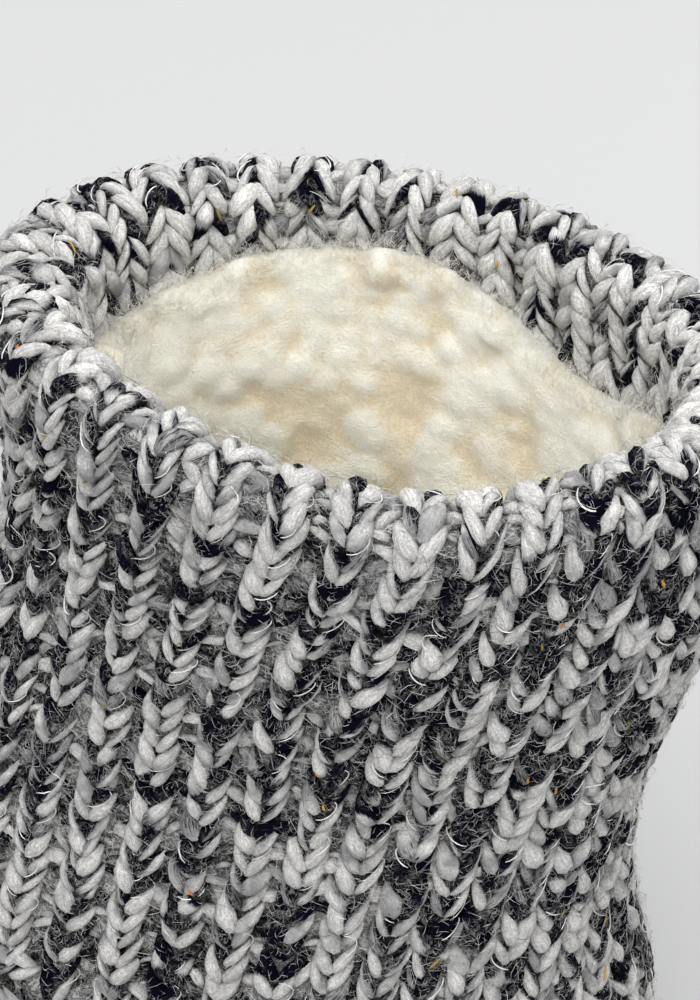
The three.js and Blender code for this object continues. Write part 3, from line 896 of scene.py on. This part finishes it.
class BOOTIE_OT_ground(bpy.types.Operator):
    """The felted ground under the stitches: a closed wall from the sole over the turned-in edge and back"""

    bl_idname = "bootie.ground"
    bl_label = "Knit ground"

    def execute(self, context):
        turn = even_turns(288)
        radius, depth = fold_radius(turn), facing_depth(turn)
        top = COLLAR_HEIGHT - radius
        rings = [wall_point(turn, SEAT_Z + (top - SEAT_Z) * share, GROUND_FRONT)
                 for share in np.linspace(0, 1, 44)]
        rim, out = wall_point(turn, top, 0.0), level_normal(turn, top)
        for over in np.linspace(0, math.pi, 9)[1:]:
            ring = rim + out * (-radius + (radius - GROUND_FRONT) * math.cos(over))[:, None]
            ring[:, 2] += (radius - GROUND_FRONT) * math.sin(over)
            rings.append(ring)
        for share in (0.4, 0.8, 1.0):
            ring = rim + out * (-2 * radius + GROUND_FRONT)[:, None]
            ring[:, 2] -= (depth - radius) * share
            rings.append(ring)
        for share in np.linspace(1, 0, 16):
            rings.append(wall_point(turn, SEAT_Z + (COLLAR_HEIGHT - depth - SEAT_Z) * share, GROUND_BACK))
        ring_piece("knit_ground", rings, ground_material(context.scene.bootie_knit), "knit_wool", "upper")
        return {"FINISHED"}


class BOOTIE_OT_leg(bpy.types.Operator):
    """The stitches of the leg, outer and inner side, down to the gusset line"""

    bl_idname = "bootie.leg"
    bl_label = "Leg stitches"

    def execute(self, context):
        knit, rng, patch = knit_start(context, 0)
        u, v, _ = shaft_stitches(knit, patch, 0)
        outer = u < 0.62 * knit.wales
        for name, pick, fine in (("leg_outer", outer, 7), ("leg_inner", ~outer, 6)):
            long = 1 + 0.35 * smoothstep(16, 2, v[pick])
            stitch_piece(name, rng, patch, u[pick], v[pick], knit, fine, fine, long)
        return {"FINISHED"}


class BOOTIE_OT_collar(bpy.types.Operator):
    """The stitches over the turned-in edge and down the facing"""

    bl_idname = "bootie.collar"
    bl_label = "Collar stitches"

    def execute(self, context):
        knit, rng, patch = knit_start(context, 1)
        u, v, _ = shaft_stitches(knit, patch, -12, 0)
        keep = v > facing_way(np.interp(u, *patch.columns))
        stitch_piece("collar_stitches", rng, patch, u[keep], v[keep], knit, 7, 7, 1.15,
                     dark_share=0.5 * knit.dark_share)
        return {"FINISHED"}


# rows of stitches round the foot: name, height, and how far forward they start
EDGE_ROWS = (("edge_stitches", 12.6, -99.0), ("toe_stitches", 20.6, 250.0), ("tip_stitches", 27.4, 253.5),
             ("gusset_stitches", 104.5, 116.0))


class BOOTIE_OT_foot(bpy.types.Operator):
    """The stitches of the foot, their columns running to the toe"""

    bl_idname = "bootie.foot"
    bl_label = "Foot stitches"

    def execute(self, context):
        knit, rng, _ = knit_start(context, 2)
        half_columns, margin = 14, 3
        patch, inside, run = foot_patch(half_columns)
        row = knit.row_height / MM
        u, v = places(np.arange(-half_columns, half_columns) + 0.5, np.arange(margin, run - margin, row))
        x, _, z = patch.at(u, v, 0 * u).T
        keep = (patch.read(inside, u, v)[:, 0] > 0.99) & ((x > FOOT_START) | (z < gusset_height(x) + 0.5))
        keep &= z - toe_lift(x) > FOOT_LOWEST
        stitch_piece("foot_stitches", rng, patch, u[keep], v[keep], knit, 5, 6, mirror=-1.0)
        for name, height, behind in EDGE_ROWS:
            patch, girth = edge_patch(height)
            v = np.arange(0.5, int(girth / row)) * girth / int(girth / row)
            v = v[patch.at(0 * v, v, 0 * v)[:, 0] > behind]
            stitch_piece(name, rng, patch, 0 * v, v, knit, 5, 6)
        return {"FINISHED"}


class BOOTIE_OT_purl(bpy.types.Operator):
    """The purl bumps in the grooves between the columns"""

    bl_idname = "bootie.purl"
    bl_label = "Purl bumps"

    def execute(self, context):
        knit, rng, patch = knit_start(context, 3)
        u, v, place = shaft_stitches(knit, patch, -11)
        u = u + 0.5
        keep = (u < knit.wales - 0.2) | (place[:, 2] > SHAFT_FOOT)
        keep &= v > facing_way(np.interp(u, *patch.columns))
        u, v = u[keep], v[keep]
        count, rings, sides = len(u), 5, 5
        t = np.linspace(-1, 1, rings)
        wide, along, slant, height = rng.normal(0, 1, (count, 4)).T[..., None]
        centre = np.stack([1.9 * t * (1 + 0.2 * wide) + 0.3 * rng.normal(0, 1, (count, 1)),
                           0.9 * (1 - t ** 2) + along + 1.2 * slant * t,
                           -1.75 - 0.6 * t ** 2 + 0.5 * height], -1)
        radius = np.where(v < 0, 1.2, 1.0)[:, None] * np.sqrt(1 - 0.8 * t ** 2)
        radius = radius * np.clip(1 + 0.3 * rng.normal(0, 1, (count, 1)), 0.4, 1.6)
        shade = rng.uniform(0.0, 1.0, count) * np.where(v < 0, 0.5, 1.0)
        tube_piece("purl_bumps", yarn_material(knit), patch, u, v, centre, radius, 0.9, sides,
                   knit.wale_width / MM, uv=yarn_uv(rng, count, t * 3, sides, 3.0),
                   dark=np.repeat(shade, rings * sides))
        return {"FINISHED"}


def hair_mesh(rng, patch, u, v, base, length, lift, radius, curl, bends, heading=None):
    """Loose hairs: three-sided spindles with some bends that curve over a patch and lift off it, running out
    to a point at both ends."""
    count, stops = len(u), bends + 2
    heading = rng.uniform(0, TURN, count) if heading is None else heading
    heading = heading[:, None] + rng.normal(0, curl, count)[:, None] * np.arange(stops)
    step = length[:, None] / (stops - 1)
    across = np.cumsum(np.cos(heading) * step, 1)
    along = np.cumsum(np.sin(heading) * step, 1)
    t = np.linspace(0, 1, stops)[None]
    height = base[:, None] + lift[:, None] * (0.35 * t + np.sin(math.pi * t) * 0.8)
    here, nrm = patch.read(patch.points, u, v), patch.read(patch.normals, u, v)
    side = unit(patch.read(patch.points, u + 0.02, v) - here)
    down = np.cross(nrm, side)
    centre = here[:, None] + side[:, None] * across[..., None] + down[:, None] * along[..., None]
    centre = centre + nrm[:, None] * height[..., None]
    tangent = unit(np.gradient(centre, axis=1))
    first = unit(np.cross(tangent, nrm[:, None]))
    second = np.cross(tangent, first)
    k = np.arange(3)
    angle = k * TURN / 3
    ring = first[:, 1:-1, None] * np.cos(angle)[:, None] + second[:, 1:-1, None] * np.sin(angle)[:, None]
    ring = centre[:, 1:-1, None] + ring * radius[:, None, None, None]
    points = np.concatenate([centre[:, :1], ring.reshape(count, 3 * bends, 3), centre[:, -1:]], 1)
    m = (k + 1) % 3
    low = 3 * bends - 2
    tip = np.stack([0 * k, 1 + m, 1 + k], -1)
    tail = np.stack([0 * k + 3 * bends + 1, low + k, low + m], -1)
    start = (np.arange(count) * (3 * bends + 2))[:, None, None]
    faces = [(np.concatenate([tip, tail]) + start).reshape(-1, 3)]
    for row in range(bends - 1):
        band = np.stack([1 + k, 1 + m, 4 + m, 4 + k], -1) + 3 * row
        faces.append((band + start).reshape(-1, 4))
    return points, faces


# loose hairs: name, columns from and to and number as shares, bends, greatest length
HAIR_KINDS = (("hairs_outer", 0.0, 0.6, 0.26, 2, 5.2), ("fuzz_outer", 0.0, 0.6, 0.70, 1, 2.6),
              ("fuzz_inner", 0.6, 1.0, 0.25, 1, 3.2))
GROOVE_SHARE = 0.45  # hairs that stand in a groove
HAIR_RUN = (-30, 128)  # hairs stand between these ways down the leg


class BOOTIE_OT_hairs(bpy.types.Operator):
    """Loose hairs over the knit: long ones, and a short fuzz"""

    bl_idname = "bootie.hairs"
    bl_label = "Loose hairs"

    def execute(self, context):
        knit, rng, patch = knit_start(context, 4)
        hair = hair_material(knit)
        for name, low, high, share, bends, longest in HAIR_KINDS:
            count = int(knit.hairs * share)
            tries = 2 * count
            column = rng.integers(int(low * knit.wales), int(high * knit.wales) + 1, tries)
            groove = rng.random(tries) < GROOVE_SHARE
            u = column + np.where(groove, rng.normal(0, 0.14, tries), rng.uniform(0.15, 0.85, tries))
            u = np.clip(u, 0, knit.wales)
            v = rng.uniform(*HAIR_RUN, tries)
            x, _, z = patch.at(u, v, 0 * u).T
            on_leg = (z > np.maximum(gusset_height(x), HAIR_LOWEST)) & (x < LEG_FRONT)
            keep = np.flatnonzero((v < 0) | on_leg)[:count]
            u, v, groove = u[keep], v[keep], groove[keep]
            count = len(u)
            base = np.where(groove, rng.uniform(-2.2, 0.1, count), rng.uniform(-0.3, 0.7, count))
            length = rng.uniform(0.4, 1.0, count) * longest
            lift = np.abs(rng.normal(0, 0.6, count))
            radius = rng.uniform(0.02, 0.04, count)
            points, faces = hair_mesh(rng, patch, u, v, base, length, lift, radius, 0.6, bends)
            dark = np.where(rng.random(count) < 0.15, 0.95, rng.uniform(0, 0.45, count))
            knit_piece(name, points, faces, hair, dark=np.repeat(dark, 3 * bends + 2))
        return {"FINISHED"}


THREAD_SHARE, FLECK_SHARE = 0.42, 0.06  # stitches with a binder thread, and with a fleck


class BOOTIE_OT_threads(bpy.types.Operator):
    """Fine white binder threads along the stitches, and small coloured flecks"""

    bl_idname = "bootie.threads"
    bl_label = "Binder threads and flecks"

    def execute(self, context):
        knit, rng, patch = knit_start(context, 5)
        all_u, all_v, _ = shaft_stitches(knit, patch, -6)

        pick = rng.random(len(all_u)) < THREAD_SHARE
        u, v = all_u[pick], all_v[pick]
        count, rings, sides = len(u), 8, 4
        t = np.linspace(0, 1, rings)
        side = np.where(rng.random(count) < 0.72, 1.0, -1.0)[:, None]
        start, sweep, wide, along, height = rng.normal(0, 1, (count, 5)).T[..., None]
        swing = np.radians(-80 + 12 * start + (115 + 20 * sweep) * t)
        across = 0.2 + (2.7 + 0.35 * wide) * np.cos(swing)
        centre = np.stack([side * across, 2.3 * np.sin(swing) + 0.35 * along - 0.2,
                           0.85 - 0.16 * across ** 2 + 0.15 * height], -1)
        radius = 0.098 * (1 + 0.2 * height).clip(0.6, 1.4) * (1 - 0.5 * (2 * t - 1) ** 4)
        thread = plain_wool("binder_thread", (0.83, 0.82, 0.80), 0.42, Specular_IOR_Level=0.5)
        tube_piece("binder_threads", thread, patch, u, v, centre, radius, 1.0, sides)

        pick = rng.random(len(all_u)) < FLECK_SHARE
        u, v = all_u[pick], all_v[pick]
        count, rings, sides = len(u), 5, 5
        t = np.linspace(-1, 1, rings)
        angle = rng.normal(0.5, 0.35, (count, 1)) * np.where(rng.random((count, 1)) < 0.5, 1, -1)
        size = rng.uniform(0.6, 1.3, (count, 1))
        where = rng.uniform(-1.8, 1.8, (count, 1))
        centre = np.stack([where + size * t * np.sin(angle),
                           size * t * np.cos(angle) + rng.normal(0, 0.8, (count, 1)),
                           0.75 - 0.2 * where ** 2 - 0.2 * t ** 2], -1)
        radius = 0.24 * np.sqrt(1 - 0.8 * t ** 2) * rng.uniform(0.7, 1.2, (count, 1))
        tube_piece("flecks", fleck_material(), patch, u, v, centre, radius, 0.7, sides,
                   dye=np.repeat(rng.random(count), rings * sides))
        return {"FINISHED"}


def fleece_rings(turn, inner_rows):
    """Rings of the lining: up the outside, over its top edge under the facing and down the inside. Returns
    the points, and for each ring how far it is part of the tufted side."""
    radius, end = fold_radius(turn), COLLAR_HEIGHT - facing_depth(turn)
    rings, tufted = [], []
    for share in np.linspace(0, 1, 8):
        rings.append(wall_point(turn, LINING_FOOT + (end - 3 - LINING_FOOT) * share, LINING_BACK))
        tufted.append(0.0)
    for rise, inset, soft in ((1.5, -3.5, 0.0), (2.8, -1.0, 0.5), (2.4, 1.2, 1.0), (0.6, 2.4, 1.0)):
        rings.append(wall_point(turn, end + rise, 2 * radius + inset))
        tufted.append(soft)
    for share in inner_rows:
        z = (end - 1.0) * (1 - share) + LINING_FOOT * share
        full = LINING_FACE + (2 * radius + 2.6 - LINING_FACE) * smoothstep(46, 6, end - z)
        rings.append(wall_point(turn, z, full))
        tufted.append(1.0)
    return np.stack(rings), np.array(tufted)


# soft troughs of the fleece, placed one by one: turns and heights of both ends, width, depth
CREASES = (((4.78, 4.81), (137, 120), 3.2, 1.5), ((4.81, 4.74), (120, 98), 4.0, 1.9),
           ((5.62, 5.38), (133, 130), 2.4, 1.3), ((5.45, 5.22), (124, 118), 2.2, 1.0),
           ((5.05, 5.16), (121, 108), 2.6, 1.1), ((4.45, 4.30), (124, 112), 2.8, 1.2))
# the creases are also drawn tan through the tuft attribute: painted shade in the troughs
CREASE_SHARE = 0.4  # how far the creases show
# tufts, broad ones, small ones and those of the top edge: number, reach in tuft sizes, rise as a share of it
BROAD, SMALL, EDGE = (800, 2.2, 0.08), (2000, 1.25, 0.3), (44, 1.25, 0.7)
FRINGE_SHARE = 0.6  # fleece hairs that stand on the top edge


def tuft_domes(rng, flat, size, kind, among=None):
    """Height of round tufts scattered over points: the highest of the parabolic domes about random seeds,
    each of a random reach, and rising a share of it."""
    count, reach, rise = kind
    among = flat if among is None else among
    seeds = among[rng.integers(0, len(among), count)]
    reach = reach * size * rng.uniform(0.65, 1.45, count)
    height = rise * reach * rng.uniform(0.6, 1.2, count)
    raised = np.zeros(len(flat))
    for part in np.array_split(np.arange(len(flat)), 80):
        far = np.linalg.norm(flat[part][:, None] - seeds[None], axis=-1) / reach
        raised[part] = (height * np.maximum(0, 1 - far ** 2)).max(1)
    return raised


class BOOTIE_OT_fleece(bpy.types.Operator):
    """The fleece lining, a closed sock whose inside is raised in rounded tufts, and its loose hairs"""

    bl_idname = "bootie.fleece"
    bl_label = "Fleece lining"

    def execute(self, context):
        fleece = context.scene.bootie_fleece
        rng = np.random.default_rng(fleece.seed)
        columns = 400
        inner = np.r_[np.linspace(0, 0.42, 60), np.linspace(0.43, 1, 36)]
        rings, tufted = fleece_rings(even_turns(columns), inner)
        first = int(np.argmax(tufted > 0))
        skin = rings[first:]
        normal = unit(np.cross(np.gradient(skin, axis=0), np.roll(skin, -1, 1) - np.roll(skin, 1, 1)))
        inward = unit((np.array([60.0, 0.0, 0.0]) - skin) * (1, 1, 0))
        inward[..., 2] = 0.8
        normal *= np.sign(np.sum(normal * inward, -1, keepdims=True) + 1e-9)
        flat = skin.reshape(-1, 3)
        size = fleece.tuft_size / MM
        broad = tuft_domes(rng, flat, size, BROAD)
        small = tuft_domes(rng, flat, size, SMALL)
        edge = tuft_domes(rng, flat, size, EDGE, flat[columns:3 * columns])
        raised = (np.maximum(broad, edge) + small).reshape(skin.shape[:2])
        # tuft: high on the tufts, low between them, where the material paints tan, partly as shade
        tuft = (small / SMALL[2] + 0.3 * broad / BROAD[2]).reshape(skin.shape[:2])
        low, high = np.percentile(tuft, (5, 95))
        tuft = (tuft - low) / (high - low)
        for turns, heights, width, depth in CREASES:
            start, stop = wall_point(np.array(turns), np.array(heights), LINING_FACE)
            run = stop - start
            share = np.clip((skin - start) @ run / (run @ run), 0, 1)
            away = np.linalg.norm(skin - start - share[..., None] * run, axis=-1)
            trough = np.exp(-(away / width) ** 2)
            raised = raised - CREASE_SHARE * depth * trough
            # painted shade: the trough is also taken from tuft, so the crease is drawn tan
            tuft = tuft - CREASE_SHARE * trough
        raised = 0.5 * raised + 0.25 * (np.roll(raised, 1, 1) + np.roll(raised, -1, 1))
        skin = skin + normal * (raised * tufted[first:, None] - 0.8)[..., None]
        rings[first:] = skin
        values = np.ones(rings.shape[:2])
        values[first:] = tuft
        piece = ring_piece("fleece_lining", rings, fleece_material(fleece), "fleece", "lining", None,
                           {"tuft": values})

        patch = Patch(np.concatenate([skin, skin[:, :1]], 1).swapaxes(0, 1), 0, 1, 0, 1, way=1)
        count = fleece.hairs
        fringe = rng.random(count) < FRINGE_SHARE
        u = np.where(rng.random(count) < 0.7, rng.uniform(0.5, 1, count), rng.random(count)) * (columns - 1)
        v = np.where(fringe, rng.uniform(1.0, 3.2, count), rng.uniform(1, 62, count))
        heading = np.where(fringe, rng.normal(-1.57, 0.65, count), rng.uniform(0, TURN, count))
        base = rng.uniform(-0.2, 0.2, count)
        length = rng.uniform(1.0, 2.3, count) * (1 + 0.9 * fringe)
        lift = np.abs(rng.normal(0, 0.3, count)) * (1 + 2 * fringe)
        radius = rng.uniform(0.016, 0.034, count)
        points, faces = hair_mesh(rng, patch, u, v, base, length, lift, radius, 0.7, 1, heading)
        wisp = plain_wool("fleece_hair", fleece.tuft, 0.8, Sheen_Weight=0.3)
        build_piece("fleece_hairs", points, faces, wisp, "fleece", "lining")
        return {"FINISHED"}


def close_pad(rings, top_shares, top_height, under_shares, under_height):
    """Closes rings round a pad on the sole's centre line, above and then below. Shares tell how near to that
    line the new rings lie; a height is worked out from x, y and the share."""
    spine = spine_of(rings[-1][:, 0])
    for edge, shares, height in ((rings[-1], top_shares, top_height), (rings[0], under_shares, under_height)):
        for share in shares:
            flat = edge[:, :2] * (1 - share) + spine * share
            rings.append(np.c_[flat, height(*flat.T, share)])


# side of the insole: height, depth inside the knit's surface
INSOLE_SIDE = ((SEAT_Z, 6.6), (SEAT_Z + 0.6, 5.5), (SEAT_Z + 2.4, 5.3), (INSOLE_Z - 1.6, 5.4),
               (INSOLE_Z - 0.4, 6.2))


class BOOTIE_OT_insole(bpy.types.Operator):
    """The insole: a soft pad, crowned a little, with the same fleece on top"""

    bl_idname = "bootie.insole"
    bl_label = "Insole"

    def execute(self, context):
        columns, crown = 180, 0.9
        turn = even_turns(columns)
        rings = []
        for z, inset in INSOLE_SIDE:
            ring = wall_point(turn, z, inset)
            ring[:, 2] = z + toe_lift(ring[:, 0])
            rings.append(ring)

        def top(x, y, share):
            tuft = 0.35 * np.sin(x * 1.1 + 2 * np.sin(y * 0.5)) * np.sin(y * 1.3)
            return INSOLE_Z - 0.4 + crown * math.sin(share * math.pi / 2) + toe_lift(x) + tuft * share

        close_pad(rings, np.linspace(0, 1, 26)[1:], top, np.linspace(1, 0, 6)[:-1],
                  lambda x, y, share: SEAT_Z + toe_lift(x))
        tuft = np.full((len(rings), columns), 0.75)
        piece = ring_piece("insole_pad", rings, bpy.data.materials["sherpa_fleece"], "fleece", "insole", None,
                           {"tuft": tuft})
        return {"FINISHED"}


# side of the sole: height, depth inside its outline, share of the arch's rise
SOLE_SIDE = ((0.0, 3.2, 1), (0.35, 2.3, 1), (1.6, 1.0, 1), (3.0, 0.25, 0.5), (4.2, 0.0, 0), (4.55, 0.12, 0),
             (5.2, 0.85, 0), (5.5, 0.9, 0), (7.0, 0.7, 0), (7.6, 0.95, 0), (SOLE_TOP, 1.6, 0))
TREAD_DEPTH = 0.7


class BOOTIE_OT_sole(bpy.types.Operator):
    """The sole: bevelled foot, step under its top edge, and shallow cross grooves underneath"""

    bl_idname = "bootie.sole"
    bl_label = "Sole"

    def execute(self, context):
        sole = context.scene.bootie_sole
        columns = 280
        turn = np.arange(columns) * TURN / columns
        back, front = LEVELS[0, 1] * LENGTH, LENGTH * (LEVELS[0, 2] + 0.012)

        def edge(angle):
            x = (front + back) / 2 + (front - back) / 2 * np.cos(angle)
            toe = rounded(nearness(x, front, TOE_ROUND), FOOT_POWER)
            heel = rounded(nearness(x, back, HEEL_ROUND), FOOT_POWER)
            return np.stack([x, plan_centre(x) + np.sign(np.sin(angle)) * plan_half(x) * toe * heel], -1)

        ahead = unit(edge(turn + TURN_STEP) - edge(turn - TURN_STEP))
        inside = np.stack([-ahead[:, 1], ahead[:, 0]], -1)
        rings = []
        for height, inset, under in SOLE_SIDE:
            flat = edge(turn) + inside * inset
            rings.append(np.c_[flat, height + toe_lift(flat[:, 0]) + under * arch_lift(flat[:, 0])])
        pitch = sole.tread_pitch / MM

        def under(x, y, share):
            wave = np.sin(x * TURN / pitch + 0.5 * np.sin(y * 0.1))
            groove = TREAD_DEPTH * smoothstep(0.35, 0.9, wave) * smoothstep(0.0, 0.12, share)
            return groove + toe_lift(x) + arch_lift(x)

        close_pad(rings, (0.35, 0.75, 1.0), lambda x, y, share: SOLE_TOP + toe_lift(x),
                  np.linspace(1, 0, 24)[:-1], under)
        ring_piece("sole", rings, rubber_material(sole), "soft_rubber", "outsole")
        return {"FINISHED"}


PIXEL = 0.000145  # size of a pixel of the picture at the collar
PICTURE_HEIGHT = 1000
COLLAR_MIDDLE = (-0.07002, -0.00076, 0.1505)
MIDDLE_RIGHT, MIDDLE_UP = 24, 154  # pixels from the picture's middle to the collar's
SENSOR = 36
FLOOR_HALF, FLOOR_POINTS, FLOOR_Z = 3, 13, -0.0002
SKY, SKY_STRENGTH = (0.97, 0.98, 1.0, 1), 0.62
LAMP_AIM = Vector((-0.05, 0, 0.1))
# lamps: name, place, size, power
LAMPS = (("key", (-0.4, 0.7, 1.05), 1.4, 14.0), ("rim", (-0.3, -0.8, 1.0), 0.8, 5.0),
         ("top", (0.16, 0.2, 1.3), 1.2, 6.6))


class BOOTIE_OT_stage(bpy.types.Operator):
    """Camera, pale floor and soft light"""

    bl_idname = "bootie.stage"
    bl_label = "Stage"

    def execute(self, context):
        scene = context.scene
        stage = scene.bootie_stage
        a, e = stage.azimuth, stage.elevation
        back = Vector((math.sin(a) * math.cos(e), -math.cos(a) * math.cos(e), math.sin(e)))
        right = Vector((math.cos(a), math.sin(a), 0))
        up = back.cross(right)
        target = Vector(COLLAR_MIDDLE) - right * (MIDDLE_RIGHT * PIXEL) - up * (MIDDLE_UP * PIXEL)
        lens = bpy.data.cameras.new("camera")
        lens.sensor_width = SENSOR
        lens.lens = stage.distance / PIXEL * SENSOR / PICTURE_HEIGHT
        lens.clip_start, lens.clip_end = 0.01, 20
        camera = bpy.data.objects.new("camera", lens)
        turned = Matrix((right, up, back)).transposed().to_4x4()
        camera.matrix_world = Matrix.Translation(target + back * stage.distance) @ turned
        scene.collection.objects.link(camera)
        scene.camera = camera

        n = Nodes("pale_floor")
        cloud = n.noise(n.place(), 3.0, 2.0, 0.5)
        shade = n.mix(n.remap(cloud, 0.2, 0.8), stage.floor, tint(stage.floor, 0.985))
        n.finish(shade, 0.9, None, Specular_IOR_Level=0.1)
        span = np.linspace(-FLOOR_HALF, FLOOR_HALF, FLOOR_POINTS)
        points = [(x, y, FLOOR_Z) for x in span for y in span]
        corner = [k for k in range(len(points) - FLOOR_POINTS) if (k + 1) % FLOOR_POINTS]
        quads = [(k, k + FLOOR_POINTS, k + FLOOR_POINTS + 1, k + 1) for k in corner]
        mesh = bpy.data.meshes.new("floor")
        mesh.from_pydata(points, [], quads)
        mesh.materials.append(n.material)
        floor = bpy.data.objects.new("floor", mesh)
        scene.collection.objects.link(floor)

        world = bpy.data.worlds.new("studio")
        world.use_nodes = True
        sky = world.node_tree.nodes["Background"]
        sky.inputs["Color"].default_value = SKY
        sky.inputs["Strength"].default_value = SKY_STRENGTH
        scene.world = world
        for name, spot, size, power in LAMPS:
            lamp = bpy.data.lights.new(name, "AREA")
            lamp.shape, lamp.size, lamp.energy = "DISK", size, power
            light = bpy.data.objects.new(name, lamp)
            turned = (LAMP_AIM - Vector(spot)).to_track_quat("-Z", "Y").to_matrix().to_4x4()
            light.matrix_world = Matrix.Translation(spot) @ turned
            scene.collection.objects.link(light)
        scene.view_settings.view_transform = "Standard"
        scene.view_settings.look = "None"
        return {"FINISHED"}


STEPS = (BOOTIE_OT_ground, BOOTIE_OT_leg, BOOTIE_OT_collar, BOOTIE_OT_foot, BOOTIE_OT_purl, BOOTIE_OT_threads,
         BOOTIE_OT_hairs, BOOTIE_OT_fleece, BOOTIE_OT_insole, BOOTIE_OT_sole, BOOTIE_OT_stage)
GROUPS = (("bootie_knit", BootieKnit), ("bootie_fleece", BootieFleece), ("bootie_sole", BootieSole),
          ("bootie_stage", BootieStage))


class BOOTIE_PT_panel(bpy.types.Panel):
    """Lists the settings and the steps"""

    bl_idname = "BOOTIE_PT_panel"
    bl_label = "Slipper bootie"
    bl_space_type = "VIEW_3D"
    bl_region_type = "UI"
    bl_category = "Bootie"

    def draw(self, context):
        for name, group in GROUPS:
            box = self.layout.box()
            for key in group.__annotations__:
                box.prop(getattr(context.scene, name), key)
        for step in STEPS:
            self.layout.operator(step.bl_idname)


def register():
    """Registers the settings, the steps and the panel."""
    for name, group in GROUPS:
        bpy.utils.register_class(group)
        setattr(bpy.types.Scene, name, PointerProperty(type=group))
    for cls in (*STEPS, BOOTIE_PT_panel):
        bpy.utils.register_class(cls)


def unregister():
    """Takes them away again."""
    for cls in (BOOTIE_PT_panel, *reversed(STEPS)):
        bpy.utils.unregister_class(cls)
    for name, group in reversed(GROUPS):
        delattr(bpy.types.Scene, name)
        bpy.utils.unregister_class(group)


def main():
    """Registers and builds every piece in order."""
    register()
    for step in STEPS:
        group, name = step.bl_idname.split(".")
        getattr(getattr(bpy.ops, group), name)()


if __name__ == "__main__":
    main()
